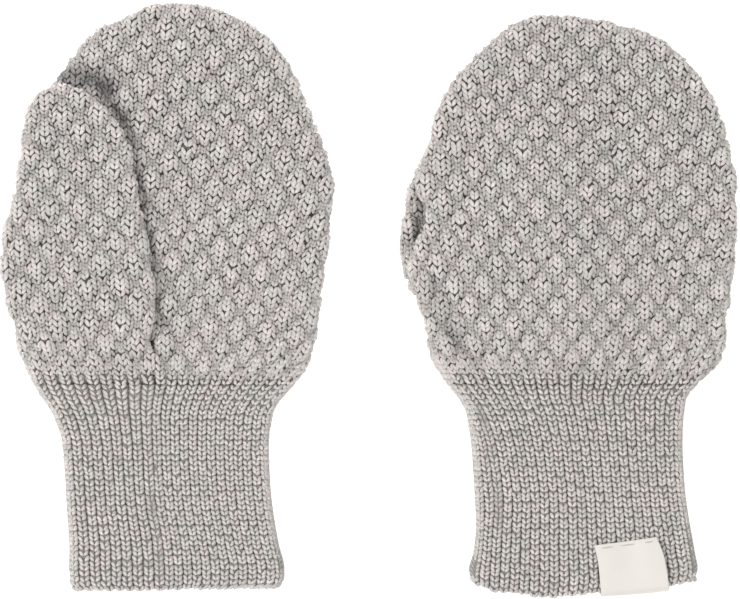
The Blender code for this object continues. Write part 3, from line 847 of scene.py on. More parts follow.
def turned_down(face, plan, rise=0.0):
    """Plan points and reach of cloth turned down over its outline, and how much of it is left to there."""
    distance, inward = edge_of(plan, face.edge)
    distance = distance - EDGE_INSET
    left_over = distance + (math.pi / 2 - 1) * EDGE_TURN
    angle = np.clip(left_over / EDGE_TURN, PAST_EDGE_ANGLE, math.pi / 2)
    turning = angle < math.pi / 2
    reach = np.where(turning, EDGE_TURN * (1 - np.cos(angle)) * np.sign(angle), distance)
    outward = SCALLOP * rise * np.where(turning, np.cos(angle), 0)
    moved = np.where(turning, reach - distance, 0) - outward
    return plan + inward * moved[..., None], reach, left_over


def on_face(face, wale, course):
    """Points of the yarn's middle line at places in the knitting."""
    flat = knit_place(face.mitten, face.knitting, *pinched(wale, course))
    rise = face.relief(wale, course) - BUBBLE_RISE * 0.5
    plan, reach, _ = turned_down(face, flat, np.clip(rise, -0.5, 0.5))
    level = face.yarn_level(plan, np.maximum(reach, 0), wale, course)
    return np.concatenate([plan, level[..., None]], axis=-1)


def mesh_piece(name, mitten, points, faces, finish):
    """Adds a piece from points in its mitten's millimetres and arrays of faces with 3 or 4 corners each."""
    mesh = bpy.data.meshes.new(name)
    moved = (np.asarray(points) + np.array([mitten.middle, mitten.hem, 0.0])) * MILLIMETRE
    corners = np.concatenate([array.ravel() for array in faces]).astype(np.int32)
    counts = np.concatenate([np.full(len(array), array.shape[1]) for array in faces])
    starts = np.concatenate([[0], np.cumsum(counts)[:-1]]).astype(np.int32)
    mesh.vertices.add(len(moved))
    mesh.vertices.foreach_set("co", moved.astype(np.float32).ravel())
    mesh.loops.add(len(corners))
    mesh.loops.foreach_set("vertex_index", corners)
    mesh.polygons.add(len(starts))
    mesh.polygons.foreach_set("loop_start", starts)
    mesh.polygons.foreach_set("use_smooth", np.ones(len(starts), bool))
    mesh.update(calc_edges=True)
    piece = bpy.data.objects.new(name, mesh)
    bpy.context.scene.collection.objects.link(piece)
    mesh.materials.append(finish)
    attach(piece, "root")
    return piece


def note(piece, name, values):
    """Stores numbers or vectors on a piece's points for its finish to read."""
    values = np.asarray(values, np.float32)
    kind, field = ("FLOAT_VECTOR", "vector") if values.ndim > 1 else ("FLOAT", "value")
    attribute = piece.data.attributes.new(name, kind, "POINT")
    attribute.data.foreach_set(field, values.ravel())


def lay_out_flat(piece):
    """Gives a piece a map of itself as seen from above."""
    mesh = piece.data
    places = np.zeros(len(mesh.vertices) * 3, np.float32)
    mesh.vertices.foreach_get("co", places)
    places = places.reshape(-1, 3)[:, :2]
    corners = np.zeros(len(mesh.loops), np.int32)
    mesh.loops.foreach_get("vertex_index", corners)
    low = places.min(0)
    scaled = (places - low) / (places.max(0) - low).max()
    layer = mesh.uv_layers.new(name="OFBake")
    layer.uv.foreach_set("vector", scaled[corners].ravel())


def grid_quads(index):
    """The cells of a grid of point numbers."""
    return np.stack([index[:-1, :-1], index[:-1, 1:], index[1:, 1:], index[1:, :-1]], axis=-1).reshape(-1, 4)


def border(index):
    """A grid's edge points in order."""
    return np.concatenate([index[0, :-1], index[:-1, -1], index[-1, :0:-1], index[:0:-1, 0]])


def closed_wall(outer, inner, upward):
    """Points and faces of a closed wall between two grids of the same size."""
    rows, columns = outer.shape[:2]
    top = np.arange(rows * columns).reshape(rows, columns)
    low = top + rows * columns
    rim = border(top)
    rim_low = border(low)
    sides = np.stack([np.roll(rim, -1), rim, rim_low, np.roll(rim_low, -1)], axis=1)
    faces = np.concatenate([grid_quads(top), grid_quads(low)[:, ::-1], sides])
    if not upward:
        faces = faces[:, ::-1]
    return np.concatenate([outer.reshape(-1, 3), inner.reshape(-1, 3)]), [faces]


def with_height(plan, height):
    return np.concatenate([plan, height[..., None]], axis=-1)


def beside_join(mitten, plan):
    """Whether plan points are where the thumb and palm are joined, between the cuff and the crotch."""
    crotch = mitten.crotch
    return (plan[..., 1] < crotch.height) & (np.abs(plan[..., 0] - crotch.x) < JOIN_REACH)


def cloth(node, face, plan, finish, bare=False):
    """One panel's cloth: the bed under its stitches, or the bare cloth itself where none are modelled."""
    distance, inward = edge_of(plan, face.edge)
    near_edge = 1 - ease(distance / EDGE_TURN)
    inset = np.where(beside_join(face.mitten, plan), -JOIN_LAP, BED_INSET)
    wale, course = knit_at(face.mitten, face.knitting, plan)
    inner, outer = face.levels(plan, distance, face.relief(wale, course))
    drawn_in = plan + inward * (inset * near_edge)[..., None]
    if bare:
        drawn_in[0, :, 1] -= JOIN_LAP
    else:
        depth = BED_SINK + (CUFF_BED_SINK - BED_SINK) * in_ribs(course)
        sunk = face.way * (outer - inner) - depth * turned_edge(distance)
        outer = inner + face.way * np.maximum(sunk, BED_LEAST)
    points, faces = closed_wall(with_height(drawn_in, outer), with_height(drawn_in, inner), face.way > 0)
    piece = mesh_piece(f"{node}_cloth", face.mitten, points, faces, finish)
    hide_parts(node)
    place = np.stack([wale, course, np.zeros_like(wale)], axis=-1).reshape(-1, 3)
    note(piece, "stitch_place", np.concatenate([place, place]))
    # The bed under modelled stitches is marked, and its finish paints it in the colour of yarn in shade
    under = np.full(wale.size, 0.0 if bare else 1.0)
    note(piece, "under_stitches", np.concatenate([under, under]))
    return piece


def ring(plan, top, bottom):
    """Each row's points all round: left to right over the top, then back along the underside."""
    over = with_height(plan, top)
    under = with_height(plan, bottom)[:, -2:0:-1]
    return np.concatenate([over, under], axis=1)


def cuff_cloth(mitten, finish):
    """The cuff's tube of ribs, just under its knit stitches."""
    face = CuffFace(mitten)
    wales = mitten.wales
    each = CUFF_CELLS_EACH_RIB // 2
    wale = np.linspace(wales.first, wales.last, each * (wales.last - wales.first) + 1)
    course = -CUFF_COURSES * (1 - np.linspace(0, 1, CUFF_ROW_COUNT) ** CUFF_ROW_CLOSING)
    wale, course = np.meshgrid(wale, course)
    plan = cuff_place(mitten, wale, course)
    rows = cuff_level_height(mitten, course)
    heights = column(mitten.cuff, "height")
    left = smooth(heights, column(mitten.cuff, "left"), rows)
    right = smooth(heights, column(mitten.cuff, "right"), rows)
    middle = (left + right) / 2
    half = (right - left) / 2
    reach = half - np.abs(plan[..., 0] - middle)
    top, bottom = face.levels(rows, reach, rib_profile(wale))
    turn = turned_edge(reach)
    outer_plan = plan.copy()
    near_hand = ease(1 + (rows - heights[-1]) / CUFF_TOP_REACH)
    inset = CUFF_BED_INSET + (BED_INSET - CUFF_BED_INSET) * near_hand
    outer_plan[..., 0] = middle + (plan[..., 0] - middle) * (half - inset) / half
    outer_plan[0, :, 1] += HEM_BED_INSET
    outer = ring(outer_plan, top - CUFF_BED_SINK * turn, bottom)
    slot_plan = plan.copy()
    slot_plan[..., 0] = middle + (plan[..., 0] - middle) * (half - SLOT_INSET) / half
    slot_plan[0, :, 1] += HEM_BED_INSET
    slot_turn = turned_edge(half - SLOT_INSET - np.abs(slot_plan[..., 0] - middle))
    seam_level = CUFF_THICK + SLOT / 2
    slot_top = seam_level + (CUFF_THICK + cuff_slot(mitten, rows) - seam_level) * slot_turn
    slot_bottom = seam_level - (seam_level - CUFF_THICK) * slot_turn
    inner = ring(slot_plan, slot_top, slot_bottom)
    row_count, around = outer.shape[:2]
    index = np.arange(row_count * around).reshape(row_count, around)
    closed = np.concatenate([index, index[:, :1]], axis=1)
    lining = closed + row_count * around
    hem = np.stack([closed[0, 1:], closed[0, :-1], lining[0, :-1], lining[0, 1:]], axis=1)
    head = np.stack([closed[-1, :-1], closed[-1, 1:], lining[-1, 1:], lining[-1, :-1]], axis=1)
    faces = np.concatenate([grid_quads(closed), grid_quads(lining)[:, ::-1], hem, head])
    points = np.concatenate([outer.reshape(-1, 3), inner.reshape(-1, 3)])
    piece = mesh_piece(f"{mitten.name}_cuff_cloth", mitten, points, [faces], finish)
    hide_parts(f"{mitten.name}_cuff")
    place = np.stack([wale, course, np.zeros_like(wale)], axis=-1)
    place = np.concatenate([place, place[:, -2:0:-1]], axis=1).reshape(-1, 3)
    note(piece, "stitch_place", np.concatenate([place, place]))
    # The cuff's upper side is marked as the bed under its stitches, which its finish paints as yarn in shade
    covered = np.concatenate([np.ones(wale.shape), np.zeros(wale[:, -2:0:-1].shape)], axis=1).ravel()
    note(piece, "under_stitches", np.concatenate([covered, covered]))
    return piece


def knitted(name, face, wale, course, finish):
    """Joined mesh of stitches, two legs to each, at these wales and courses of a face."""
    random = np.random.default_rng(len(name) * 7 + int(wale.size))
    ribs = in_ribs(course)
    rib_wale = wale + face.knitting.cuff_wale
    wales = face.mitten.wales
    purl = ((rib_wale % 2 == 0) & (rib_wale > wales.first) & (rib_wale < wales.last)) * ribs
    knit = ribs - purl
    foot = FOOT + (RIB_FOOT - FOOT) * knit
    shoulder = SHOULDER + (RIB_SHOULDER - SHOULDER) * knit
    stretched = 1 + BUBBLE_YARN_GROWTH * bubble_dome(wale, course) * bubbles_grown(wale, course)
    radius = (YARN_RADIUS * stretched * (1 - knit) + RIB_YARN_RADIUS * knit) * (1 - PURL_THINNER * purl)
    places = knit_place(face.mitten, face.knitting, wale, course)
    # Each stitch's tone: the ribs' and the hand's own colour and a random spread, with painted shade on the
    # sunk purl wales and on stitches lying in creases
    sag = np.clip(crease_sag(face.creases, places), 0, MOST_SAG)
    stitch_tone_and_painted_shade = 1 - PURL_PAINTED_SHADE * purl - RIB_SHADE * ribs - HAND_SHADE * (1 - ribs)
    stitch_tone_and_painted_shade = stitch_tone_and_painted_shade * (1 - CREASE_PAINTED_SHADE * sag) * random.normal(1, TONE_SPREAD, wale.shape)
    wale = wale + random.normal(0, UNEVEN * 0.5, wale.shape)
    course = course + random.normal(0, UNEVEN, wale.shape)
    lift = random.normal(0, UNEVEN, wale.shape) - PURL_SINK * purl
    t = np.concatenate([[-LEG_TIP], LEG_RINGS, [1 + LEG_TIP]])
    hand = np.array([-1.0, 1.0])
    across = wale[:, None, None] + hand[None, :, None] * (
        foot[:, None, None] + (shoulder - foot)[:, None, None] * t
    )
    start = (LEG_START + (RIB_LEG_START - LEG_START) * knit)[:, None, None]
    rise = (LEG_RISE + (RIB_LEG_RISE - LEG_RISE) * knit)[:, None, None]
    upward = course[:, None, None] + start + rise * t + random.normal(0, UNEVEN, (len(wale), 2, 1))
    line = on_face(face, across, upward)
    mid_across = across.mean(-1)
    mid_upward = upward.mean(-1)
    # Painted shade: each leg is coloured darker the deeper it lies in a bubble's valley, where the face has
    # bubbles
    valley = (1 - bubble_dome(mid_across, mid_upward)) ** 2 * bubbles_grown(mid_across, mid_upward)
    tone = stitch_tone_and_painted_shade[:, None] * (1 - VALLEY_PAINTED_SHADE * valley * (face.relief(mid_across, mid_upward) != 0))
    step = FACING_STEP
    sideways = on_face(face, mid_across + step, mid_upward) - on_face(face, mid_across - step, mid_upward)
    lengthways = on_face(face, mid_across, mid_upward + step) - on_face(face, mid_across, mid_upward - step)
    out = np.cross(sideways, lengthways) * face.way
    out /= np.linalg.norm(out, axis=-1, keepdims=True)
    arch = LEG_ARCH * 4 * t * (1 - t) - LEG_ARCH * 0.6 + lift[:, None, None]
    line = line + out[:, :, None] * arch[..., None]
    run = np.gradient(line, axis=2)
    run /= np.linalg.norm(run, axis=-1, keepdims=True)
    broad = np.cross(out[:, :, None], run)
    broad /= np.linalg.norm(broad, axis=-1, keepdims=True)
    high = np.cross(run, broad)
    angle = 2 * math.pi * np.arange(LEG_SIDES) / LEG_SIDES
    size = (radius[:, None, None] * np.array(LEG_TAPER))[..., None, None]
    beside = np.cos(angle)[:, None] * broad[:, :, 1:-1, None]
    above = YARN_FLATNESS * np.sin(angle)[:, None] * high[:, :, 1:-1, None]
    ring_points = line[:, :, 1:-1, None] + size * (beside + above)
    legs = len(wale) * 2
    rings = len(LEG_RINGS)
    each = rings * LEG_SIDES + 2
    points = np.concatenate(
        [
            ring_points.reshape(legs, rings * LEG_SIDES, 3),
            line[:, :, 0].reshape(legs, 1, 3),
            line[:, :, -1].reshape(legs, 1, 3),
        ],
        axis=1,
    )
    tube = np.arange(rings * LEG_SIDES).reshape(rings, LEG_SIDES)
    tube = np.concatenate([tube, tube[:, :1]], axis=1)
    quads = grid_quads(tube)
    first = np.stack([tube[0, 1:], tube[0, :-1], np.full(LEG_SIDES, each - 2)], axis=1)
    last = np.stack([tube[-1, :-1], tube[-1, 1:], np.full(LEG_SIDES, each - 1)], axis=1)
    base = (np.arange(legs) * each)[:, None, None]
    faces = [(quads[None] + base).reshape(-1, 4), (np.concatenate([first, last])[None] + base).reshape(-1, 3)]
    piece = mesh_piece(name, face.mitten, points.reshape(-1, 3), faces, finish)
    turns = [np.tile(wave(angle), rings) for wave in (np.cos, np.sin)]
    round_it = np.stack([np.repeat(LEG_RINGS, LEG_SIDES), *turns], axis=1)
    ends = np.array([[0.0, 0.0, 1.0], [1.0, 0.0, 1.0]])
    note(piece, "yarn", np.tile(np.concatenate([round_it, ends]), (legs, 1)))
    # The legs' tone with its painted shade, stored for the yarn's finish
    note(piece, "tone", np.repeat(tone, each))
    lay_out_flat(piece)
    return piece


def stitch_places(face, wales, courses):
    """All places in these ranges, with their plan points and how much cloth is left to the outline."""
    wale, course = np.meshgrid(np.arange(wales[0], wales[1] + 1.0), np.arange(courses[0], courses[1] + 1.0))
    wale = wale.ravel()
    course = course.ravel()
    plan = knit_place(face.mitten, face.knitting, wale, course + STITCH_MIDDLE)
    _, _, left_over = turned_down(face, plan)
    return wale, course, plan, left_over


def hand_stitches(name, face, finish, span, keep, width=math.inf):
    """Stitches of a hand or thumb that keep(course, plan) passes, within this width of the turned edge."""
    wale, course, plan, left_over = stitch_places(face, *span)
    kept = (left_over > LEAST_LEFT_OVER) & (left_over < width) & keep(course, plan)
    return knitted(name, face, wale[kept], course[kept], finish)


def cuff_stitches(mitten, way, finish, creases=()):
    """Stitches of the cuff's ribs: its knit wales, and near the hand the sunk purl wales between them."""
    face = CuffFace(mitten, way, creases)
    wales = (mitten.wales.first - 1, mitten.wales.last + 1)
    wale, course, plan, left_over = stitch_places(face, wales, (-CUFF_COURSES, -1))
    at_side = (wale == mitten.wales.first) | (wale == mitten.wales.last)
    near_hand = (course >= -PURL_COURSES) & (way > 0)
    kept = ((wale % 2 == 1) | near_hand | at_side) & (left_over > LEAST_LEFT_OVER)
    if way < 0:
        kept &= (left_over < RIM_WIDTH) | (course == -1)
    name = f"{mitten.name}_cuff_stitches" if way > 0 else f"{mitten.name}_cuff_rim_stitches"
    return knitted(name, face, wale[kept], course[kept], finish)


class Value:
    """A socket of a finish's nodes, so that its maths reads as an expression."""

    def __init__(self, finish, socket):
        self.finish = finish
        self.socket = socket

    def maths(self, operation, first, second):
        return self.finish.node("ShaderNodeMath", {"operation": operation}, {0: first, 1: second})

    def __add__(self, other):
        return self.maths("ADD", self, other)

    def __radd__(self, other):
        return self.maths("ADD", other, self)

    def __sub__(self, other):
        return self.maths("SUBTRACT", self, other)

    def __rsub__(self, other):
        return self.maths("SUBTRACT", other, self)

    def __mul__(self, other):
        return self.maths("MULTIPLY", self, other)

    def __rmul__(self, other):
        return self.maths("MULTIPLY", other, self)

    def __pow__(self, other):
        return self.maths("POWER", self, other)

    def __abs__(self):
        return self.maths("ABSOLUTE", self, 0.0)


class Finish:
    """One material, whose nodes are added by node() and whose shader's own sockets are set once."""

    def __init__(self, name, constants):
        self.material = bpy.data.materials.new(name)
        self.material.use_nodes = True
        self.tree = self.material.node_tree
        self.shader = self.tree.nodes["Principled BSDF"]
        for socket, value in constants.items():
            self.shader.inputs[socket].default_value = value

    def node(self, kind, settings, sockets, output=0):
        made = self.tree.nodes.new(kind)
        for name, value in settings.items():
            setattr(made, name, value)
        for socket, value in sockets.items():
            self.put(made.inputs[socket], value)
        return Value(self, made.outputs[output])

    def put(self, socket, value):
        if isinstance(value, Value):
            self.tree.links.new(value.socket, socket)
        else:
            socket.default_value = value

    def noted(self, name, output="Fac"):
        return self.node("ShaderNodeAttribute", {"attribute_name": name}, {}, output)

    def noise(self, scale, detail=2.0, where=None):
        where = self.node("ShaderNodeTexCoord", {}, {}, "Object") if where is None else where
        return self.node("ShaderNodeTexNoise", {}, {"Vector": where, "Scale": scale, "Detail": detail}, "Fac")

    def axes(self, vector):
        parts = self.node("ShaderNodeSeparateXYZ", {}, {0: vector})
        return [Value(self, parts.socket.node.outputs[axis]) for axis in range(3)]

    def mixed(self, factor, first, second):
        sockets = {"Factor": factor, 6: first, 7: second}
        return self.node("ShaderNodeMix", {"data_type": "RGBA"}, sockets, 2)

    def scaled(self, colour, amount):
        return self.node("ShaderNodeVectorMath", {"operation": "SCALE"}, {0: colour, "Scale": amount})

    def curve(self, operation, value):
        return self.node("ShaderNodeMath", {"operation": operation}, {0: value})

    def colour(self, value):
        self.put(self.shader.inputs["Base Color"], value)

    def bump(self, height, distance, strength=1.0):
        sockets = {"Height": height, "Distance": distance, "Strength": strength}
        self.put(self.shader.inputs["Normal"], self.node("ShaderNodeBump", {}, sockets))


YARN_COOL = (0.592, 0.57, 0.544, 1.0)
YARN_WARM = (0.642, 0.59, 0.568, 1.0)
# Painted shade: colours of yarn in shade, given to the bed of cloth under the modelled stitches, lighter
# under the ribs
SHADED_YARN = (0.25, 0.233, 0.218, 1.0)
SHADED_RIB = (0.36, 0.338, 0.316, 1.0)
LABEL_CREAM = (0.765, 0.732, 0.69, 1.0)
LABEL_SHADE = (0.735, 0.70, 0.655, 1.0)
THREAD_GREY = (0.42, 0.37, 0.31, 1.0)
WOOL = {"Roughness": 0.9, "Specular IOR Level": 0.15, "Sheen Weight": 0.15, "Sheen Roughness": 0.5}


def melange(finish):
    """Colour of the yarn's mixed fibres, which turns from warm to cool every few stitches."""
    drift = finish.noise(260.0, 3.0)
    factor = finish.node("ShaderNodeMapRange", {}, {"Value": drift, "From Min": 0.38, "From Max": 0.62})
    return finish.mixed(factor, YARN_COOL, YARN_WARM)


def yarn_finish():
    """Soft two-ply wool: its plies wind along each leg of a stitch, with painted highlight on the plies and
    painted shade between them, and with paler and darker fibres.
    """
    finish = Finish("grey_melange_yarn", WOOL)
    where, cosine, sine = finish.axes(finish.noted("yarn", "Vector"))
    turn = where * 7.0
    # Painted highlight and shade: a pale band winds along each ply and a darker one between, following the
    # yarn's twist; the same bands raise the bump
    ply = cosine * finish.curve("COSINE", turn) + sine * finish.curve("SINE", turn)
    fibre = finish.noise(4200.0, 3.0)
    cloud = finish.noise(900.0, 2.0)
    light = 0.41 + 0.11 * ply + 0.85 * fibre + 0.35 * cloud
    # The melange is scaled by the legs' stored tone, which carries painted shade in creases, bubble valleys
    # and purl wales
    finish.colour(finish.scaled(melange(finish), light * finish.noted("tone")))
    finish.bump(0.5 * ply + fibre, 0.00012, 0.7)
    return finish.material


def cloth_finish(name, rib):
    """Knitted cloth where no stitch is modelled: its Vs are drawn in its colour as painted light and shade,
    legs lighter and gaps darker, and raised by its bump. The bed under modelled stitches is coloured as yarn
    in painted shade.
    """
    finish = Finish(name, WOOL)
    wale, course, _ = finish.axes(finish.noted("stitch_place", "Vector"))
    columns = wale * 0.5 if rib else wale + 0.5
    across = abs(finish.curve("FRACT", columns) - 0.5)
    slope = course - across * 1.5
    along_leg = abs(finish.curve("FRACT", slope) - 0.5) * 2.0
    leg = 1.0 - along_leg * along_leg
    gap = abs(across - 0.25) * 4.0
    body = 1.0 - gap**4.0
    raised = leg * body
    fibre = finish.noise(4200.0, 3.0)
    # Painted light and shade: the legs of the drawn Vs lighter and the gaps between them darker, with the
    # fibres' own tone
    light = 0.45 + 0.65 * raised + 0.35 * fibre
    if not rib:
        # Painted shade: the bubbles' valleys are drawn darker on the bare cloth, which lies flat
        across_bubble = finish.curve("COSINE", wale * (2 * math.pi / BUBBLE_WALES))
        up_bubble = finish.curve("COSINE", course * (2 * math.pi / BUBBLE_COURSES))
        dome = abs(up_bubble - across_bubble) * 0.5
        light = light * (1.0 - VALLEY_PAINTED_SHADE * (1.0 - dome) ** 2.0)
        raised = raised + 2.0 * dome
    drawn = finish.scaled(melange(finish), light)
    # Painted shade: the bed under modelled stitches takes the shaded yarn colour, easing from the ribs'
    # lighter one to the hand's over the first six courses
    above_ribs = finish.node("ShaderNodeMapRange", {}, {"Value": course, "From Min": 0.0, "From Max": 6.0})
    shaded = finish.mixed(above_ribs, SHADED_RIB, SHADED_YARN)
    finish.colour(finish.mixed(finish.noted("under_stitches"), drawn, shaded))
    finish.bump(raised + 0.2 * fibre, 0.0006)
    return finish.material


def label_finish():
    """Cream cotton tape in a fine plain weave."""
    finish = Finish("cream_woven_label", {"Roughness": 0.85, "Specular IOR Level": 0.2})
    across, upward, _ = finish.axes(finish.noted("stitch_place", "Vector"))
    warp = finish.curve("SINE", across * 18.0)
    weft = finish.curve("SINE", upward * 18.0)
    weave = warp * weft
    grain = finish.noise(1500.0, 3.0)
    finish.colour(finish.scaled(finish.mixed(grain, LABEL_CREAM, LABEL_SHADE), 1.0 + 0.03 * weave))
    finish.bump(weave + 0.6 * grain, 0.00004)
    return finish.material


def thread_finish():
    finish = Finish("label_thread", {"Roughness": 0.8, "Specular IOR Level": 0.2})
    finish.colour(finish.mixed(finish.noise(3000.0), THREAD_GREY, (0.52, 0.46, 0.39, 1.0)))
    return finish.material


def floor_finish():
    glow = {"Emission Color": (1.0, 1.0, 1.0, 1.0), "Emission Strength": 0.45}
    finish = Finish("white_floor", {"Roughness": 0.9, "Specular IOR Level": 0.0, **glow})
    finish.colour(finish.mixed(finish.noise(3.0), (0.92, 0.92, 0.92, 1.0), (0.93, 0.93, 0.93, 1.0)))
    return finish.material


def label_plan(across, height):
    """The label's plan points at these parts across it and heights above the hem."""
    heights = column(LABEL_SIDES, "height")
    left = smooth(heights, column(LABEL_SIDES, "left"), height)
    right = smooth(heights, column(LABEL_SIDES, "right"), height)
    x = left + (right - left) * across
    hem = smooth(column(RIGHT.hem_line, "x"), column(RIGHT.hem_line, "height"), x)
    lean = LABEL_LEAN * (across - 0.5) * np.clip(height / heights[-1], 0, 1)
    above_hem = height + hem * np.clip(1 - height / HEM_LINE_REACH, 0, 1)
    return np.stack([x, above_hem + lean], axis=-1)


def label_crest():
    return CUFF_THICK + LABEL_SLOT + CUFF_THICK + RIB_RISE + SEAM_GAP


def label_sag(across, height):
    """Slow waves of the label's upper leaf over the ribs, and the dip along its line of stitches."""
    wave = LABEL_WAVE * np.sin(9.0 * across + 0.4) * np.clip(height / 8.0, 0, 1)
    return wave - 0.12 * np.exp(-(((height - (LABEL_LEAF_HEIGHTS[0] - LABEL_STITCH_DROP)) / 0.35) ** 2))


def label(finish, thread):
    """Small woven label folded over the right cuff's hem, sewn down along its upper edge."""
    crest = label_crest()
    tuck = CUFF_THICK + LABEL_SLOT - SEAM_GAP
    fold = np.radians(LABEL_FOLD_ANGLES)
    across = np.linspace(0, 1, LABEL_COLUMNS + 1)
    layers = []
    for offset in (0.0, LABEL_THICK):
        height = np.concatenate([LABEL_LEAF_HEIGHTS, -(SEAM_GAP + offset) * np.sin(fold), LABEL_TUCK_HEIGHTS])
        level = np.concatenate(
            [
                np.full(len(LABEL_LEAF_HEIGHTS), crest + offset),
                (crest + tuck) / 2 + ((crest - tuck) / 2 + offset) * np.cos(fold),
                np.full(len(LABEL_TUCK_HEIGHTS), tuck - offset),
            ]
        )
        part, rise = np.meshgrid(across, height)
        on_leaf = (np.arange(len(height)) < len(LABEL_LEAF_HEIGHTS))[:, None]
        sag = np.where(on_leaf, label_sag(part, rise), 0.0)
        layers.append(with_height(label_plan(part, rise), level[:, None] + sag))
    points, faces = closed_wall(layers[1], layers[0], upward=False)
    piece = mesh_piece("right_label_cloth", RIGHT, points, faces, finish)
    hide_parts("right_label")
    lengths = np.cumsum(np.concatenate([[0], np.linalg.norm(np.diff(layers[1][:, 0], axis=0), axis=1)]))
    place = np.stack([part * 18.0, np.broadcast_to(lengths[:, None], part.shape), 0 * part], axis=-1)
    place = place.reshape(-1, 3)
    note(piece, "stitch_place", np.concatenate([place, place]))
    stitches = [label_stitch(count, *ends, thread) for count, ends in enumerate(LABEL_STITCHES, 1)]
    return piece


def label_stitch(count, start, end, finish):
    """One long stitch of thread through the label."""
    part = np.linspace(start, end, 12)
    height = np.full(part.shape, LABEL_LEAF_HEIGHTS[0] - LABEL_STITCH_DROP)
    middle = (part - start) / (end - start)
    sunk = 0.10 * np.sqrt(np.sin(np.pi * middle).clip(0)) - 0.12
    level = label_crest() + LABEL_THICK + label_sag(part, height) + sunk
    line = with_height(label_plan(part, height), level)
    angle = 2 * math.pi * np.arange(8) / 8
    size = THREAD_RADIUS * np.sqrt(np.sin(np.pi * middle).clip(0.06))
    up = np.array([0.0, 0.0, 1.0])
    run = np.gradient(line, axis=0)
    run /= np.linalg.norm(run, axis=1, keepdims=True)
    broad = np.cross(up, run)
    rings = line[:, None] + size[:, None, None] * (
        np.cos(angle)[None, :, None] * broad[:, None] + np.sin(angle)[None, :, None] * up
    )
    index = np.arange(rings.shape[0] * 8).reshape(-1, 8)
    closed = np.concatenate([index, index[:, :1]], axis=1)
    caps = [closed[0, :-1][::-1][None], closed[-1, :-1][None]]
    faces = [grid_quads(closed), *caps]
    return mesh_piece(f"right_label_stitch_{count}", RIGHT, rings.reshape(-1, 3), faces, finish)


def hand_plan(mitten, cells):
    """Plan points of a panel that is the whole hand."""
    left, right = side(mitten.hand, "left"), side(mitten.hand, "right")
    return patch([left[0], right[0]], left, right, mitten.crown, cells)

def palm_plan(mitten, cells):
    """Plan points of a palm, which stops at the thumb's hidden edge."""
    left, right = side(mitten.hand, "left"), side(mitten.hand, "right")
    base = mitten.palm_edge + right[:1]
    return patch(base, from_point(mitten.palm_edge[0], left), right, mitten.crown, cells)

def thumb_plan(mitten):
    """Plan points of a thumb's outer half, which runs down to the cuff."""
    left, right = side(mitten.thumb, "left"), side(mitten.thumb, "right")
    return patch([left[0], right[0]], left, right, mitten.tip, THUMB_CELLS)

def inner_thumb_plan(mitten):
    """Plan points of a thumb's inner half, which starts at its hidden edge."""
    left = from_point(mitten.root, side(mitten.thumb, "left"))
    right = from_point(mitten.crotch, side(mitten.thumb, "right"))
    return patch([mitten.root, mitten.crotch], left, right, mitten.tip, HIDDEN_THUMB_CELLS)

def everywhere(course, plan):
    return np.ones(course.shape, bool)


def left_mitten(yarn, hand_cloth, rib_cloth):
    """Palm up, with the thumb folded over the palm."""
    mitten = LEFT
    whole = whole_outline(mitten)
    hand, thumb_knit = mitten.hand_knitting, mitten.thumb_knitting
    palm = Face(mitten, hand, whole, level_seam(HAND_SEAM), PANEL_THICK, creases=LEFT_PALM_CREASES)
    back = Face(mitten, hand, whole, level_seam(HAND_SEAM), PANEL_THICK, way=-1)
    edge = free_thumb_outline(mitten)
    thumb = Face(mitten, thumb_knit, edge, left_thumb_seam, THUMB_THICK, 1, THUMB_SLACK, LEFT_THUMB_CREASES)
    thumb_line = thumb_outline(mitten)
    under = Face(mitten, thumb_knit, thumb_line, level_seam(left_thumb_level()), THUMB_THICK, way=-1)
    back_piece = cloth("left_back", back, hand_plan(mitten, PLAIN_CELLS), hand_cloth, bare=True)
    palm_piece = cloth("left_palm", palm, palm_plan(mitten, PANEL_CELLS), hand_cloth)
    thumb_piece = cloth("left_thumb_outer", thumb, thumb_plan(mitten), hand_cloth)
    under_piece = cloth("left_thumb_inner", under, inner_thumb_plan(mitten), hand_cloth, bare=True)
    cuff = cuff_cloth(mitten, rib_cloth)

    def thumb_join(plan):
        return np.interp(plan[:, 1], [mitten.cuff[-1].height, mitten.crotch.height], [-2.8, mitten.crotch.x])

    def on_palm(course, plan):
        inside, _ = edge_of(plan, thumb_line)
        below_crotch = plan[:, 1] < mitten.crotch.height
        beside_thumb = (above_root(mitten, plan) > 0) | (plan[:, 0] > mitten.crotch.x)
        open_palm = (inside < HIDDEN_BY_THUMB) & beside_thumb
        return np.where(below_crotch, plan[:, 0] > thumb_join(plan) + 0.2, open_palm)

    def on_thumb(course, plan):
        return (plan[:, 1] > mitten.crotch.height) | (plan[:, 0] < thumb_join(plan) + 0.2)

    def thumb_side(course, plan):
        return above_root(mitten, plan) > 0

    palm_stitches = hand_stitches("left_palm_stitches", palm, yarn, LEFT_HAND, on_palm)
    thumb_stitches = hand_stitches("left_thumb_stitches", thumb, yarn, LEFT_THUMB, on_thumb)
    rim = hand_stitches("left_back_rim_stitches", back, yarn, LEFT_HAND, everywhere, RIM_WIDTH)
    under_rim = hand_stitches("left_thumb_rim_stitches", under, yarn, LEFT_INNER_THUMB, thumb_side, RIM_WIDTH)
    ribs = cuff_stitches(mitten, 1, yarn, LEFT_SEAM_CREASES)
    rib_rim = cuff_stitches(mitten, -1, yarn)


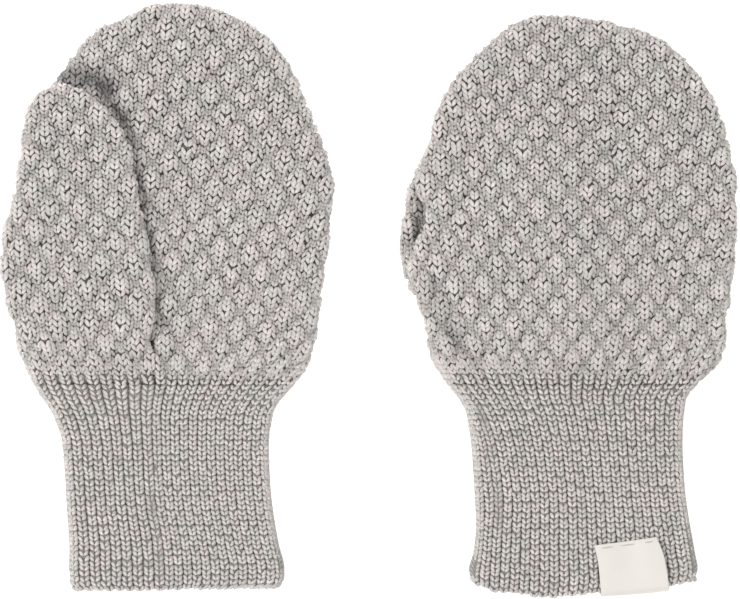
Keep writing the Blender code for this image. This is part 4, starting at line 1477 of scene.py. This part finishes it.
def right_mitten(yarn, hand_cloth, rib_cloth):
    """Back up, with the thumb folded beneath, so that the hand is draped over it."""
    mitten = RIGHT
    whole = whole_outline(mitten)
    thumb_line = thumb_outline(mitten)
    hand, thumb_knit = mitten.hand_knitting, mitten.thumb_knitting
    back = Face(mitten, hand, whole, right_hand_seam, PANEL_THICK, 1, DRAPED_SLACK, RIGHT_BACK_CREASES)
    palm = Face(mitten, hand, whole, right_hand_seam, PANEL_THICK, way=-1, slack=DRAPED_SLACK)
    under = Face(mitten, thumb_knit, thumb_line, right_thumb_seam, THUMB_THICK, way=-1)
    upper_seam = level_seam(THUMB_THICK + LYING_GAP / 2)
    upper = Face(mitten, thumb_knit, thumb_line, upper_seam, THUMB_THICK, creases=RIGHT_POCKET_CREASES)
    back_piece = cloth("right_back", back, hand_plan(mitten, PANEL_CELLS), hand_cloth)
    palm_piece = cloth("right_palm", palm, palm_plan(mitten, PLAIN_CELLS), hand_cloth, bare=True)
    under_piece = cloth("right_thumb_outer", under, thumb_plan(mitten), hand_cloth, bare=True)
    upper_piece = cloth("right_thumb_inner", upper, inner_thumb_plan(mitten), hand_cloth)
    cuff = cuff_cloth(mitten, rib_cloth)

    def lower_half(course, plan):
        return course < SPLIT_COURSE

    def upper_half(course, plan):
        return course >= SPLIT_COURSE

    def beside_pocket(course, plan):
        return (above_root(mitten, plan) > 0) & (plan[:, 1] < POCKET_TOP)

    def past_root(course, plan):
        return (above_root(mitten, plan) > 0) | (plan[:, 0] > mitten.crotch.x - PALM_RIM_REACH)

    lower = hand_stitches("right_back_lower_stitches", back, yarn, RIGHT_HAND, lower_half)
    higher = hand_stitches("right_back_upper_stitches", back, yarn, RIGHT_HAND, upper_half)
    rim = hand_stitches("right_palm_rim_stitches", palm, yarn, RIGHT_HAND, past_root, RIM_WIDTH)
    inner = RIGHT_INNER_THUMB
    pocket = hand_stitches("right_thumb_upper_stitches", upper, yarn, inner, beside_pocket, POCKET_WIDTH)
    under_rim = hand_stitches("right_thumb_rim_stitches", under, yarn, RIGHT_THUMB, everywhere, RIM_WIDTH)
    ribs = cuff_stitches(mitten, 1, yarn, RIGHT_SEAM_CREASES)
    rib_rim = cuff_stitches(mitten, -1, yarn)


def floor(finish):
    """Plain pale floor, wide enough for every view."""
    half = 3.0
    corners = [(-half, -half, 0), (half, -half, 0), (half, half, 0), (-half, half, 0)]
    mesh = bpy.data.meshes.new("floor")
    mesh.from_pydata(corners, [], [(0, 1, 2, 3)])
    mesh.materials.append(finish)
    made = bpy.data.objects.new("floor", mesh)
    made.location.z = -0.0002
    bpy.context.scene.collection.objects.link(made)


def soft_lamp(name, place, size, power):
    """Square soft lamp that shines at the mittens."""
    light = bpy.data.lights.new(name, "AREA")
    light.size = size
    light.energy = power
    lamp = bpy.data.objects.new(name, light)
    lamp.location = place
    direction = -lamp.location
    lamp.rotation_mode = "QUATERNION"
    lamp.rotation_quaternion = direction.to_track_quat("-Z", "Y")
    bpy.context.scene.collection.objects.link(lamp)


def studio():
    """Even white light all round with one soft lamp from above, and the camera straight over the mittens."""
    world = bpy.data.worlds.new("studio")
    world.use_nodes = True
    background = world.node_tree.nodes["Background"]
    background.inputs["Color"].default_value = (1.0, 1.0, 1.0, 1.0)
    background.inputs["Strength"].default_value = 0.95
    bpy.context.scene.world = world
    soft_lamp("left_lamp", (-0.85, 0.2, 1.2), 0.6, 10.0)
    lens = bpy.data.cameras.new("overhead")
    lens.sensor_width = SENSOR
    lens.lens = LENS
    lens.clip_end = 10.0
    camera = bpy.data.objects.new("overhead", lens)
    away = PHOTO_WIDTH * PIXEL * LENS / SENSOR + SHARP_HEIGHT
    camera.location = [length * MILLIMETRE for length in (*PHOTO_MIDDLE, away)]
    bpy.context.scene.collection.objects.link(camera)
    bpy.context.scene.camera = camera
    bpy.context.scene.view_settings.view_transform = "Standard"


YARN = yarn_finish()
HAND_CLOTH = cloth_finish("knitted_hand_cloth", rib=False)
RIB_CLOTH = cloth_finish("knitted_rib_cloth", rib=True)
left_mitten(YARN, HAND_CLOTH, RIB_CLOTH)
right_mitten(YARN, HAND_CLOTH, RIB_CLOTH)
label(label_finish(), thread_finish())
floor(floor_finish())
studio()
bpy.context.view_layer.update()
